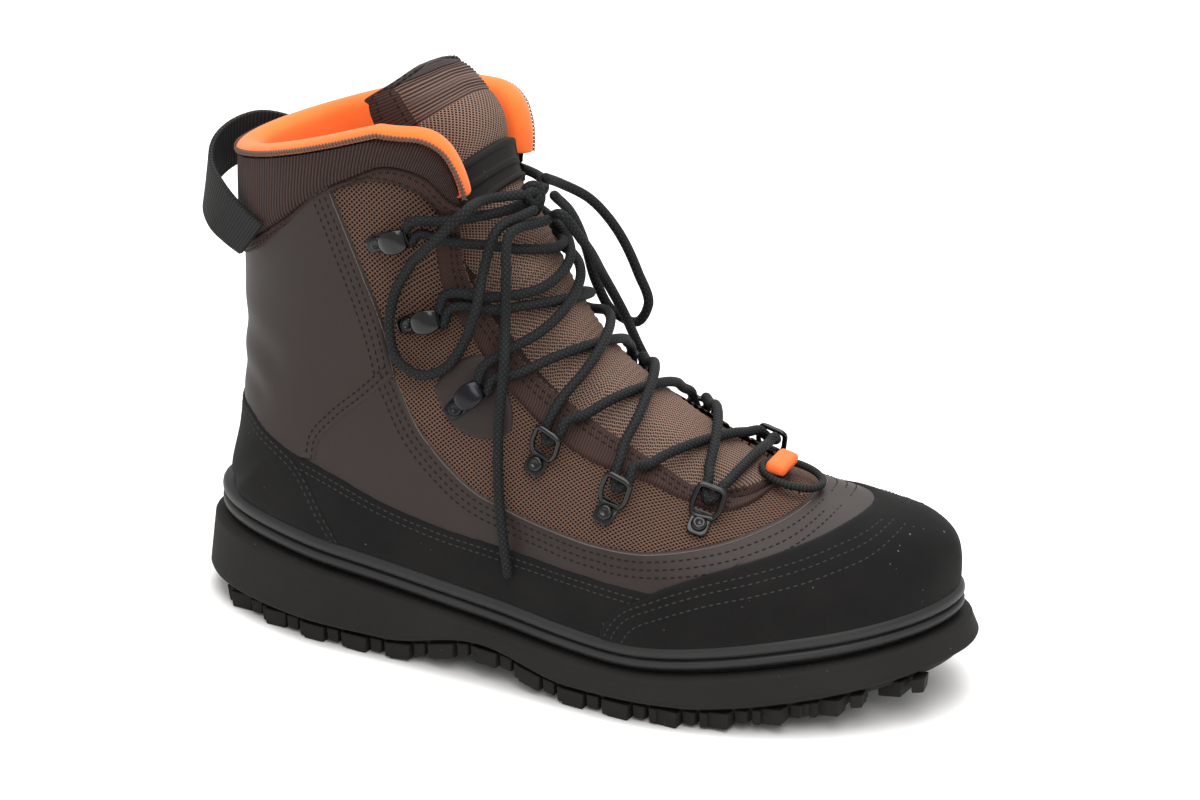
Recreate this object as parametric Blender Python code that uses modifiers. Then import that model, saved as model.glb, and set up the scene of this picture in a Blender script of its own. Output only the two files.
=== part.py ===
"""Wading boot for the right foot: rubber sole, hollow upper, overlays, tongue, padded collar and laces.

Metres, +Z up. +X points to the toe and -Y to the outer (lateral) side. The boot is drawn with the
heel at x = 0, the floor at z = 0 and the heel's axis at y = 0, and an empty then centres it.
"""

import math
from collections import namedtuple

import bmesh
import bpy
import numpy as np
from mathutils import Matrix, Vector

# Driving sizes of the boot.
SOLE_LENGTH = 0.318
BALL_WIDTH = 0.116
HEEL_HEIGHT = 0.0485
COLLAR_HEIGHT = 0.2150
TOE_SPRING = 0.014
ARCH_RISE = 0.0075

# Walls, thicknesses and clearances.
UPPER_WALL = 0.0022
NUBUCK = 0.0016
LEATHER = 0.0011
STRIP = 0.0013
CUFF_PAD = 0.0036
LINING_PAD = 0.0036
TONGUE_PAD = 0.0045
INSOLE_THICKNESS = 0.0040
FIT = 0.0003
FEATHER_GAP = 0.0006

# Sole side: lugs, step, flared wall and the welt's ribs.
LUG_DEPTH = 0.0055
STEP_HEIGHT = 0.0040
SIDE_FLARE = 0.0028
BASE_INSET = 0.0036
WELT_INSET = 0.0030
RIB_DEPTH = 0.0016
HEEL_ROUND = 0.075
TOE_ROUND = 0.096

# The upper's feather line inside the edge of the outsole's lip.
HEEL_INSET = 0.0105
FLANK_INSET = 0.0062
TOE_INSET = 0.0072
FEATHER_FLARE = 0.0014

LATERAL = -1
MEDIAL = 1
WELD = 2e-5

SolePlan = namedtuple("SolePlan", "station lateral medial swing")
# station is a share of SOLE_LENGTH, the half widths and the swing of the centre line of BALL_WIDTH.
SOLE_PLAN = (
    SolePlan(0.00, 0.379, 0.379, 0.039),
    SolePlan(0.12, 0.390, 0.371, 0.028),
    SolePlan(0.20, 0.409, 0.358, 0.017),
    SolePlan(0.32, 0.429, 0.349, 0.004),
    SolePlan(0.44, 0.468, 0.349, 0.003),
    SolePlan(0.55, 0.527, 0.384, 0.007),
    SolePlan(0.65, 0.570, 0.431, 0.017),
    SolePlan(0.75, 0.562, 0.448, 0.033),
    SolePlan(0.84, 0.557, 0.448, 0.050),
    SolePlan(0.92, 0.545, 0.431, 0.061),
    SolePlan(1.00, 0.517, 0.414, 0.069),
)

SoleSide = namedtuple("SoleSide", "station feather lip")
# Heights as shares of HEEL_HEIGHT: the feather line on the welt, and the outsole's lip.
SOLE_SIDE = (
    SoleSide(0.00, 1.000, 0.700),
    SoleSide(0.20, 0.907, 0.630),
    SoleSide(0.45, 0.732, 0.474),
    SoleSide(0.65, 0.640, 0.392),
    SoleSide(0.85, 0.825, 0.557),
    SoleSide(1.00, 0.960, 0.700),
)

Section = namedtuple("Section", "place base rise ridge_x ridge_z body wide_at throat fullness")
# Sections of the last from the toe tip to the collar and, at the last place, past it for the tongue.
# base and ridge_x are shares of SOLE_LENGTH. rise (above the feather line) and ridge_z are shares
# of COLLAR_HEIGHT. body (least half width) and throat (half opening) are shares of BALL_WIDTH.
SECTIONS = (
    Section(0, 0.9773, 0.000, 0.9790, 0.270, 0.000, 0.22, 0.255, 2.1),
    Section(1, 0.9740, 0.000, 0.9745, 0.293, 0.000, 0.22, 0.255, 2.1),
    Section(2, 0.9640, 0.000, 0.9635, 0.310, 0.000, 0.22, 0.255, 2.1),
    Section(3, 0.9470, 0.000, 0.9445, 0.325, 0.000, 0.22, 0.255, 2.1),
    Section(4, 0.9230, 0.000, 0.9180, 0.336, 0.000, 0.22, 0.255, 2.1),
    Section(5, 0.8890, 0.000, 0.8800, 0.341, 0.000, 0.22, 0.255, 2.0),
    Section(6, 0.8370, 0.000, 0.8240, 0.350, 0.000, 0.22, 0.255, 2.0),
    Section(7, 0.7770, 0.000, 0.7610, 0.371, 0.000, 0.22, 0.255, 1.9),
    Section(8, 0.7110, 0.000, 0.6950, 0.412, 0.000, 0.22, 0.255, 1.9),
    Section(9, 0.6390, 0.000, 0.6350, 0.465, 0.000, 0.22, 0.266, 2.1),
    Section(10, 0.5660, 0.000, 0.5850, 0.514, 0.100, 0.22, 0.268, 2.3),
    Section(11, 0.4910, 0.000, 0.5430, 0.560, 0.300, 0.22, 0.262, 2.4),
    Section(12, 0.4120, 0.000, 0.5120, 0.610, 0.330, 0.23, 0.261, 2.4),
    Section(13, 0.3330, 0.000, 0.4890, 0.660, 0.335, 0.25, 0.259, 2.4),
    Section(14, 0.2550, 0.000, 0.4710, 0.711, 0.330, 0.27, 0.254, 2.4),
    Section(15, 0.1800, 0.000, 0.4570, 0.760, 0.325, 0.30, 0.245, 2.4),
    Section(16, 0.1130, 0.000, 0.4470, 0.806, 0.322, 0.33, 0.230, 2.4),
    Section(17, 0.0620, 0.000, 0.4420, 0.850, 0.318, 0.36, 0.223, 2.4),
    Section(18, 0.0330, 0.002, 0.4410, 0.889, 0.315, 0.38, 0.222, 2.4),
    Section(19, 0.0460, 0.104, 0.4450, 0.944, 0.310, 0.40, 0.229, 2.4),
    Section(20, 0.0530, 0.204, 0.4500, 0.987, 0.306, 0.42, 0.236, 2.4),
    Section(21, 0.0560, 0.301, 0.4530, 1.017, 0.303, 0.43, 0.244, 2.4),
    Section(22, 0.0560, 0.402, 0.4540, 1.036, 0.301, 0.44, 0.252, 2.4),
    Section(23, 0.0560, 0.492, 0.4540, 1.051, 0.301, 0.44, 0.263, 2.5),
    Section(24, 0.0560, 0.571, 0.4530, 1.061, 0.302, 0.45, 0.279, 2.6),
    Section(25, 0.0570, 0.645, 0.4500, 1.068, 0.303, 0.45, 0.299, 2.6),
    Section(26, 0.0600, 0.715, 0.4350, 1.095, 0.298, 0.45, 0.299, 2.6),
)
HEEL_PLACE = 18
COLLAR_PLACE = 25
# The throat's round foot starts at one place and has its full width this many places higher.
THROAT_FOOT = 7.05
THROAT_ROUND = 0.95
MEDIAL_THROAT = 0.80
MEDIAL_REACH = 0.84
# How far the medial side of the collar stands ahead of the lateral one.
COLLAR_LEAD = 0.006

TongueRow = namedtuple("TongueRow", "place half back")
# half (half width on the last) and back (how far the tongue leans back) are shares of BALL_WIDTH.
TONGUE = (
    TongueRow(7.1, 0.090, 0.000),
    TongueRow(7.5, 0.200, 0.000),
    TongueRow(8.0, 0.285, 0.000),
    TongueRow(9.0, 0.310, 0.000),
    TongueRow(10.0, 0.312, 0.000),
    TongueRow(11.0, 0.310, 0.000),
    TongueRow(12.5, 0.306, 0.000),
    TongueRow(14.0, 0.300, 0.000),
    TongueRow(15.0, 0.290, 0.005),
    TongueRow(16.0, 0.275, 0.018),
    TongueRow(17.0, 0.262, 0.064),
    TongueRow(18.0, 0.250, 0.114),
    TongueRow(19.0, 0.240, 0.156),
    TongueRow(20.0, 0.232, 0.190),
    TongueRow(22.0, 0.225, 0.280),
    TongueRow(24.0, 0.218, 0.345),
    TongueRow(24.9, 0.205, 0.370),
    TongueRow(25.3, 0.165, 0.380),
)
# How much higher the tongue's middle stands than its edges under the eyestays.
TONGUE_SWELL = 0.0042
TONGUE_TIP = [25.5, 25.6]
TONGUE_TWIST = 0.20
PLACE_STEP = 0.02
HALF_STEP = 0.0001

LugRow = namedtuple("LugRow", "side count first last across width length slant")
# across (outer end) and width are shares of the base's half width there, length of SOLE_LENGTH.
LUG_ROWS = (
    LugRow(LATERAL, 15, 0.06, 0.95, 0.97, 0.28, 0.034, 8),
    LugRow(MEDIAL, 15, 0.06, 0.95, 0.97, 0.28, 0.034, 8),
    LugRow(LATERAL, 12, 0.09, 0.90, 0.58, 0.42, 0.026, -20),
    LugRow(MEDIAL, 12, 0.09, 0.90, 0.58, 0.42, 0.026, -20),
)
LUG_MARGIN = 0.004
LUG_SINK = 0.0010
LUG_VARY = 0.28
LUG_RHYTHM = 2.1
INSOLE_ROOM = 0.0024
TONGUE_ROOM = 0.0010

# Side-view lines of the overlays, as (share of SOLE_LENGTH, share of COLLAR_HEIGHT), heel to toe.
COUNTER_EDGE = ((-0.016, 0.414), (0.060, 0.405), (0.088, 0.400), (0.126, 0.377), (0.170, 0.340),
                (0.211, 0.265), (0.239, 0.200), (0.252, 0.100))
BAND_TOP = ((0.126, 0.377), (0.175, 0.350), (0.239, 0.330), (0.318, 0.298), (0.387, 0.279),
            (0.456, 0.270), (0.541, 0.260), (0.594, 0.256), (0.670, 0.247))
CAP_EDGE = ((0.588, 0.060), (0.597, 0.135), (0.626, 0.209), (0.670, 0.247), (0.723, 0.279),
            (0.792, 0.307), (0.858, 0.335), (0.896, 0.358), (0.912, 0.391), (0.918, 0.442))
LEATHER_EDGE = ((0.195, 0.953), (0.220, 0.860), (0.242, 0.786), (0.277, 0.665), (0.305, 0.540),
                (0.358, 0.437), (0.428, 0.358), (0.472, 0.340), (0.547, 0.321), (0.629, 0.312),
                (0.711, 0.321), (0.770, 0.340), (0.811, 0.363), (0.836, 0.400), (0.843, 0.442))
SEAM = ((0.305, 0.540), (0.270, 0.488), (0.226, 0.428), (0.201, 0.381), (0.198, 0.349))
COLLAR_LOW = ((-0.016, 0.651), (0.031, 0.660), (0.066, 0.679), (0.101, 0.712), (0.154, 0.786),
              (0.204, 0.856), (0.239, 0.884), (0.280, 0.902), (0.321, 0.893), (0.346, 0.870),
              (0.358, 0.844), (0.410, 0.826))
COLLAR_UP = ((-0.016, 0.674), (0.060, 0.702), (0.138, 0.781), (0.214, 0.874), (0.255, 0.907),
             (0.289, 0.930), (0.340, 0.916), (0.371, 0.870), (0.410, 0.849))
# Where those lines meet each other, as positions in their own lists.
COUNTER_AT_BAND = 4
BAND_AT_SEAM = 1
CAP_AT_BAND = 3
EDGE_AT_SEAM = 4
EDGE_AT_COLLAR = 0
COLLAR_AT_EDGE = 5

HookPlace = namedtuple("HookPlace", "place distance turn kind")
# distance from the throat's edge to the rivet is a share of BALL_WIDTH, turn is in degrees.
HOOKS = (
    HookPlace(7.90, 0.127, 0, "ring"),
    HookPlace(9.62, 0.245, 0, "ring"),
    HookPlace(11.42, 0.228, 0, "ring"),
    HookPlace(13.84, 0.282, 0, "hook"),
    HookPlace(16.80, 0.272, 0, "hook"),
    HookPlace(20.64, 0.346, 0, "hook"),
)
HOOK_PLATE = 0.0012
HOOK_WIDTH = 0.0072
RIVET_RADIUS = 0.0027
RIVET_HEIGHT = 0.0013
RING_FOOT = 0.0036
RING_RISE = 0.62
LACE_DIAMETER = 0.0040

EYESTAY_ROWS = 20
EYESTAY_COLUMNS = (0.02, 0.34, 0.67, 1.0)
EyestayRow = namedtuple("EyestayRow", "place width")
# width is a share of BALL_WIDTH.
EYESTAY = (
    EyestayRow(7.35, 0.050),
    EyestayRow(8.40, 0.062),
    EyestayRow(9.20, 0.084),
    EyestayRow(10.0, 0.112),
    EyestayRow(12.5, 0.100),
    EyestayRow(15.0, 0.092),
    EyestayRow(18.4, 0.106),
)
LINING_END = 20
LINING_LEG = (0.022, 0.009)
LEG_LEAN = 0.20
ROLL_HEIGHT = 0.0050

PATCH_PLACES = (17.5, 19.1)
PATCH_HALVES = (-0.160, 0.120)
PATCH_THICKNESS = 0.0026
LOOP_WIDTH = 0.020
LOOP_THICKNESS = 0.0020
LoopRow = namedtuple("LoopRow", "x y z lean_x lean_y")
# The pull loop's middle line round the heel from the lateral to the medial side, as shares of
# SOLE_LENGTH, BALL_WIDTH and COLLAR_HEIGHT, and how its upper edge leans, as shares of its width.
LOOP = (
    LoopRow(0.1000, -0.266, 0.742, 0.60, -0.22),
    LoopRow(0.0730, -0.236, 0.755, 0.55, -0.18),
    LoopRow(0.0380, -0.180, 0.776, 0.38, -0.05),
    LoopRow(0.0080, -0.090, 0.798, 0.18, 0.00),
    LoopRow(0.0010, 0.000, 0.825, 0.05, 0.00),
    LoopRow(0.0120, 0.090, 0.847, 0.05, 0.00),
    LoopRow(0.0360, 0.170, 0.855, 0.12, 0.00),
    LoopRow(0.0680, 0.226, 0.838, 0.30, 0.05),
    LoopRow(0.0900, 0.249, 0.800, 0.50, 0.18),
    LoopRow(0.1000, 0.257, 0.760, 0.60, 0.22),
)
RING_LENGTH = 0.0240
RING_WIDTH = 0.0200
RING_WIRE = 0.0030
RING_PLACE = 6.85
RING_LIFT = 0.0042
TAB_SIZE = (0.0050, 0.0112, 0.0044)
TAB_SHIFT = 0.0052

# Where a lace run stops ahead of its hook's rivet, how high it lies over the last, and how far its
# two strands stay apart there.
LACE_STOP = 0.0188
LACE_LIFT = 0.0050
LACE_SAG = 0.0007
LACE_OVER = 0.0018
LACE_APART = 0.0030
LACE_POINTS = 9
LACE_SIDES = 1
# Degrees above the horizontal of each run's plane: the bar, the crossings upwards and the top.
LACE_TILTS = (62, 58, 52, 36, 14, -6, 2)
TOP_MIDDLE = 18.0
TOP_LIFT = 0.0073
KNOT_SIZE = (0.0085, 0.0140, 0.0110)

LaceRow = namedtuple("LaceRow", "x y z")
# The knot and the free laces from it outwards, as shares of SOLE_LENGTH, BALL_WIDTH and
# COLLAR_HEIGHT.
KNOT = LaceRow(0.4410, -0.020, 0.853)
FREE_LACES = {
    "lace_loop_lateral": (
        LaceRow(0.438, -0.099, 0.874),
        LaceRow(0.409, -0.187, 0.875),
        LaceRow(0.404, -0.369, 0.879),
        LaceRow(0.373, -0.385, 0.827),
        LaceRow(0.328, -0.328, 0.757),
        LaceRow(0.306, -0.324, 0.694),
        LaceRow(0.302, -0.342, 0.635),
        LaceRow(0.313, -0.344, 0.577),
        LaceRow(0.346, -0.363, 0.559),
        LaceRow(0.377, -0.357, 0.577),
        LaceRow(0.398, -0.341, 0.622),
        LaceRow(0.419, -0.360, 0.696),
        LaceRow(0.420, -0.286, 0.769),
        LaceRow(0.428, -0.244, 0.827),
        LaceRow(0.454, -0.098, 0.847),
    ),
    "lace_end_lateral": (
        LaceRow(0.463, -0.037, 0.820),
        LaceRow(0.444, -0.251, 0.817),
        LaceRow(0.450, -0.299, 0.761),
        LaceRow(0.450, -0.310, 0.678),
        LaceRow(0.459, -0.378, 0.608),
        LaceRow(0.455, -0.391, 0.523),
        LaceRow(0.456, -0.415, 0.441),
        LaceRow(0.462, -0.445, 0.362),
        LaceRow(0.472, -0.476, 0.293),
        LaceRow(0.479, -0.479, 0.229),
    ),
    "lace_loop_medial": (
        LaceRow(0.446, 0.057, 0.879),
        LaceRow(0.450, 0.155, 0.852),
        LaceRow(0.474, 0.259, 0.808),
        LaceRow(0.498, 0.328, 0.744),
        LaceRow(0.521, 0.371, 0.655),
        LaceRow(0.534, 0.379, 0.591),
        LaceRow(0.519, 0.379, 0.555),
        LaceRow(0.491, 0.362, 0.571),
        LaceRow(0.470, 0.345, 0.627),
        LaceRow(0.462, 0.302, 0.704),
        LaceRow(0.460, 0.190, 0.789),
        LaceRow(0.460, 0.042, 0.851),
    ),
    "lace_end_medial": (
        LaceRow(0.465, -0.003, 0.822),
        LaceRow(0.479, -0.034, 0.834),
        LaceRow(0.500, 0.017, 0.779),
        LaceRow(0.500, 0.207, 0.674),
        LaceRow(0.513, 0.302, 0.586),
        LaceRow(0.522, 0.397, 0.496),
        LaceRow(0.536, 0.405, 0.456),
    ),
}

CORDS = ("lace_knot", *FREE_LACES)

COLOURS = {
    "nubuck": ((0.018, 0.018, 0.018), 0.80, 0.0),
    "leather": ((0.070, 0.050, 0.044), 0.45, 0.0),
    "mesh": ((0.100, 0.062, 0.045), 0.85, 0.0),
    "binding": ((0.075, 0.045, 0.037), 0.70, 0.0),
    "cuff": ((0.060, 0.040, 0.034), 0.80, 0.0),
    "lining": ((0.930, 0.210, 0.040), 0.80, 0.0),
    "rubber": ((0.030, 0.029, 0.028), 0.70, 0.0),
    "welt": ((0.040, 0.039, 0.039), 0.50, 0.0),
    "footbed": ((0.050, 0.050, 0.050), 0.90, 0.0),
    "webbing": ((0.012, 0.012, 0.013), 0.75, 0.0),
    "metal": ((0.030, 0.030, 0.032), 0.30, 0.8),
    "lace": ((0.016, 0.017, 0.018), 0.75, 0.0),
}


def smooth(xs, ys, at):
    """The smooth curve through a table's points, held level outside it."""
    xs, ys = np.asarray(xs, float), np.asarray(ys, float)
    at = np.clip(np.asarray(at, float), xs[0], xs[-1])
    step = np.diff(xs)
    rise = np.diff(ys) / step
    slope = np.empty_like(ys)
    slope[0], slope[-1] = rise[0], rise[-1]
    slope[1:-1] = (rise[:-1] * step[1:] + rise[1:] * step[:-1]) / (step[1:] + step[:-1])
    i = np.clip(np.searchsorted(xs, at, side="right") - 1, 0, len(step) - 1)
    h = step[i]
    t = (at - xs[i]) / h
    ends = (1 + 2 * t) * (1 - t) ** 2 * ys[i] + t * t * (3 - 2 * t) * ys[i + 1]
    return ends + t * (1 - t) ** 2 * h * slope[i] + t * t * (t - 1) * h * slope[i + 1]


def read(table, name, at):
    """One column of a table of named rows, whose first column is the place."""
    return smooth([row[0] for row in table], [getattr(row, name) for row in table], at)


def ramp(value):
    return np.clip(value, 0.0, 1.0)


def ease(value):
    value = ramp(value)
    return value * value * (3 - 2 * value)


def round_end(distance, reach):
    """Share of the full half width at a distance from a rounded end."""
    return np.sqrt(1 - (1 - ramp(distance / reach)) ** 2.1)


def swing(x):
    return BALL_WIDTH * read(SOLE_PLAN, "swing", x / SOLE_LENGTH)


def half_width(x, side, heel, flank, toe):
    """Half width of the sole's outline at x, drawn in by its own amount at heel, flank and toe."""
    full = SOLE_LENGTH - heel - toe
    share = ramp((x - heel) / full)
    lateral = read(SOLE_PLAN, "lateral", share)
    medial = read(SOLE_PLAN, "medial", share)
    width = BALL_WIDTH * np.where(np.asarray(side) < 0, lateral, medial) - flank
    return width * round_end(share * full, HEEL_ROUND - heel) * round_end((1 - share) * full, TOE_ROUND - toe)


def feather_z(x):
    return HEEL_HEIGHT * read(SOLE_SIDE, "feather", x / SOLE_LENGTH)


def lip_z(x):
    return HEEL_HEIGHT * read(SOLE_SIDE, "lip", x / SOLE_LENGTH)


def tread_z(x):
    """Height of the lugs' faces: flat under heel and ball, raised at the arch and the toe."""
    share = x / SOLE_LENGTH
    arch = ease((share - 0.30) / 0.13) * ease((0.57 - share) / 0.13)
    return ARCH_RISE * arch + TOE_SPRING * ramp((share - 0.72) / 0.28) ** 1.2


def section_point(place, drop, side):
    """A point of the upper's outer face.

    place runs from the toe tip to the collar, drop from the feather or the back line (0) to the
    ridge or the throat's edge (1), and side is LATERAL or MEDIAL.
    """
    place, drop = np.broadcast_arrays(np.asarray(place, float), np.asarray(drop, float))
    closed = ease((place - 15.0) / 3.0)
    open_spread = np.sin(0.5 * np.pi * drop)
    loop_spread = 0.5 - 0.5 * np.cos(np.pi * drop)
    share = open_spread + (loop_spread - open_spread) * closed
    return last_point(place, share * share_at(place, side, throat_half(place, side)), side)


def last_point(place, share, side):
    """A point of the last at a share of the way from a section's base to its ridge."""
    base_x = SOLE_LENGTH * read(SECTIONS, "base", place)
    base_z = feather_z(base_x) + FEATHER_GAP + COLLAR_HEIGHT * np.maximum(read(SECTIONS, "rise", place), 0)
    ridge_x = SOLE_LENGTH * read(SECTIONS, "ridge_x", place)
    ridge_z = COLLAR_HEIGHT * read(SECTIONS, "ridge_z", place)
    foot = half_width(base_x, side, HEEL_INSET, FLANK_INSET, TOE_INSET) * ramp(HEEL_PLACE - place)
    wide = widest(place, foot)
    middle = read(SECTIONS, "wide_at", place)
    low = np.sqrt(np.maximum(1 - ramp((middle - share) / middle) ** 2.1, 0))
    below = foot + (wide - foot) * low
    fullness = read(SECTIONS, "fullness", place)
    above = wide * np.sqrt(1 - ramp((share - middle) / (1 - middle)) ** fullness)
    half = np.where(share < middle, below, above)
    lead = COLLAR_LEAD * (side > 0) * ease((place - 18) / 5) * share * ramp(half / (0.2 * BALL_WIDTH))
    x = base_x + (ridge_x - base_x) * share + lead
    z = base_z + (ridge_z - base_z) * share
    return np.stack([x, swing(x) + side * half, z], -1)


def widest(place, foot):
    """Half width of a section at its widest: the foot's own, or the body of the ankle and shaft."""
    body = BALL_WIDTH * np.maximum(read(SECTIONS, "body", place), 0)
    flare = FEATHER_FLARE * ramp(place / 2)
    return ((foot + flare) ** 8 + body ** 8) ** 0.125


def throat_half(place, side):
    """Half width of the throat, smaller on the medial side below the collar."""
    share = np.where(np.asarray(side) > 0, MEDIAL_THROAT + (1 - MEDIAL_THROAT) * ease((place - 16) / 4), 1.0)
    return (BALL_WIDTH * read(SECTIONS, "throat", place) * share
            * round_end(place - THROAT_FOOT, THROAT_ROUND))


def share_at(place, side, half):
    """Where a section's upper side is this half wide, as a share of the way from base to ridge."""
    base_x = SOLE_LENGTH * read(SECTIONS, "base", place)
    foot = half_width(base_x, side, HEEL_INSET, FLANK_INSET, TOE_INSET) * ramp(HEEL_PLACE - place)
    middle = read(SECTIONS, "wide_at", place)
    level = ramp(half / np.maximum(widest(place, foot), 1e-6))
    share = (1 - level ** 2) ** (1 / read(SECTIONS, "fullness", place))
    return middle + (1 - middle) * share


# Places of the upper's rows and drops of its columns.
ROWS = (0, 0.8, 1.7, 2.7, 3.8, 5, 6, 7, 7.15, 7.4, 7.8, 8.4, 9.2, 10.1, 11, 12, 13, 14, 15, 16, 17, 17.6,
        18, 19, 20, 21, 22, 23, 24, 24.5, 25)
COLUMNS = 9


def new_object(name, mesh, finish, collection):
    obj = bpy.data.objects.new(name, mesh)
    collection.objects.link(obj)
    if finish:
        mesh.materials.append(material(finish))
    return obj


def material(finish):
    name = "mat_" + finish
    if name in bpy.data.materials:
        return bpy.data.materials[name]
    made = bpy.data.materials.new(name)
    made.use_nodes = True
    colour, roughness, metallic = COLOURS[finish]
    shader = made.node_tree.nodes["Principled BSDF"]
    shader.inputs["Base Color"].default_value = (*colour, 1.0)
    shader.inputs["Roughness"].default_value = roughness
    shader.inputs["Metallic"].default_value = metallic
    return made


def grid_mesh(name, points, closed=False):
    """A mesh of quads through a rows by columns array of points. closed joins the last row to the first."""
    rows, columns = points.shape[:2]
    work = bmesh.new()
    made = [work.verts.new(p) for p in points.reshape(-1, 3)]
    for i in range(rows if closed else rows - 1):
        for j in range(columns - 1):
            a = i * columns + j
            b = (i + 1) % rows * columns + j
            work.faces.new([made[a], made[a + 1], made[b + 1], made[b]])
    bmesh.ops.remove_doubles(work, verts=work.verts, dist=WELD)
    work.normal_update()
    return to_mesh(name, work)


def solidify(obj, thickness, offset):
    """A wall on an open surface: offset -1 grows it inwards and 1 outwards."""
    wall = obj.modifiers.new("wall", "SOLIDIFY")
    wall.thickness = thickness
    wall.offset = offset
    wall.use_even_offset = True
    wall.use_quality_normals = True
    return obj


def swept(name, loops, finish, collection):
    """A closed solid through a list of closed loops of points, with its two ends filled."""
    work = bmesh.new()
    made = [[work.verts.new(p) for p in loop] for loop in loops]
    count = len(loops[0])
    for low, high in zip(made, made[1:]):
        for i in range(count):
            j = (i + 1) % count
            work.faces.new([low[i], low[j], high[j], high[i]])
    work.faces.new(made[0][::-1])
    work.faces.new(made[-1])
    bmesh.ops.recalc_face_normals(work, faces=work.faces)
    return new_object(name, to_mesh(name, work), finish, collection)


def shifted(outline, amount):
    """A side-view line moved to its left by an amount, in metres."""
    line = np.array([(a * SOLE_LENGTH, u * COLLAR_HEIGHT) for a, u in outline])
    along = np.gradient(line, axis=0)
    along /= np.linalg.norm(along, axis=1)[:, None]
    return [tuple(p) for p in line + amount * np.stack([-along[:, 1], along[:, 0]], -1)]


def prism(name, outline, low, high, collection):
    """A cutter: a side-view outline in metres, run across the boot from y = low to y = high."""
    work = bmesh.new()
    face = work.faces.new([work.verts.new((x, low, z)) for x, z in outline])
    pushed = bmesh.ops.extrude_face_region(work, geom=[face])
    bmesh.ops.translate(work, vec=(0, high - low, 0),
                        verts=[v for v in pushed["geom"] if isinstance(v, bmesh.types.BMVert)])
    bmesh.ops.recalc_face_normals(work, faces=work.faces)
    cutter = new_object(name, to_mesh(name, work), None, collection)
    cutter.hide_render = True
    cutter.display_type = "WIRE"
    return cutter


def boolean(obj, cutter, operation):
    cut = obj.modifiers.new(operation.lower(), "BOOLEAN")
    cut.operation = operation
    cut.solver = "EXACT"
    cut.object = cutter
    return obj


def upper_mesh(name, distance=0.0):
    """The upper's outer face, both sides joined at toe, ridge and back, moved out by a distance."""
    places = np.array(ROWS, float)[:, None]
    drops = np.linspace(0, 1, COLUMNS)[None, :]
    lateral = section_point(places, drops, LATERAL)
    medial = section_point(places, drops, MEDIAL)
    rows, columns = lateral.shape[:2]
    verts = [tuple(p) for p in lateral.reshape(-1, 3)] + [tuple(p) for p in medial.reshape(-1, 3)]
    faces = []
    half = rows * columns
    for i in range(rows - 1):
        for j in range(columns - 1):
            a = i * columns + j
            faces.append((a, a + 1, a + columns + 1, a + columns))
            b = a + half
            faces.append((b, b + columns, b + columns + 1, b + 1))
    work = bmesh.new()
    made = [work.verts.new(v) for v in verts]
    for face in faces:
        work.faces.new([made[k] for k in face])
    bmesh.ops.remove_doubles(work, verts=work.verts, dist=WELD)
    bmesh.ops.dissolve_degenerate(work, edges=work.edges, dist=WELD)
    bmesh.ops.triangulate(work, faces=work.faces)
    work.normal_update()
    moved = [v.co + v.normal * (distance * v.calc_shell_factor()) for v in work.verts]
    for vert, place in zip(work.verts, moved):
        vert.co = place
    return to_mesh(name, work)


def to_mesh(name, work):
    mesh = bpy.data.meshes.new(name)
    work.to_mesh(mesh)
    work.free()
    return mesh


def sole_rows(count):
    """Stations along the sole, close together at its round ends."""
    return 0.5 - 0.5 * np.cos(np.pi * np.linspace(0, 1, count + 1))


def sole_body(name, rings, finish, collection, count=18):
    """A closed solid from rings of (heel, flank and toe insets, height function), bottom ring first."""
    stations = sole_rows(count)
    loops = []
    for (heel, flank, toe), height in rings:
        x = heel + (SOLE_LENGTH - heel - toe) * stations
        z = height(x)
        lateral = np.stack([x, swing(x) - half_width(x, LATERAL, heel, flank, toe), z], -1)
        medial = np.stack([x, swing(x) + half_width(x, MEDIAL, heel, flank, toe), z], -1)
        loops.append(np.concatenate([lateral, medial[-2:0:-1]]))
    ring = len(loops[0])
    work = bmesh.new()
    made = [[work.verts.new(p) for p in loop] for loop in loops]
    for low, high in zip(made, made[1:]):
        for i in range(ring):
            j = (i + 1) % ring
            work.faces.new([low[i], low[j], high[j], high[i]])
    for loop in (made[0], made[-1]):
        for i in range(count):
            cap = [loop[i], loop[i + 1], loop[(ring - i - 1) % ring], loop[(ring - i) % ring]]
            work.faces.new(list(dict.fromkeys(cap)))
    bmesh.ops.recalc_face_normals(work, faces=work.faces)
    return new_object(name, to_mesh(name, work), finish, collection)


def even(inset):
    return (inset, inset, inset)


def base_z(x):
    return tread_z(x) + LUG_DEPTH


def step_z(x):
    return base_z(x) + STEP_HEIGHT


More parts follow.
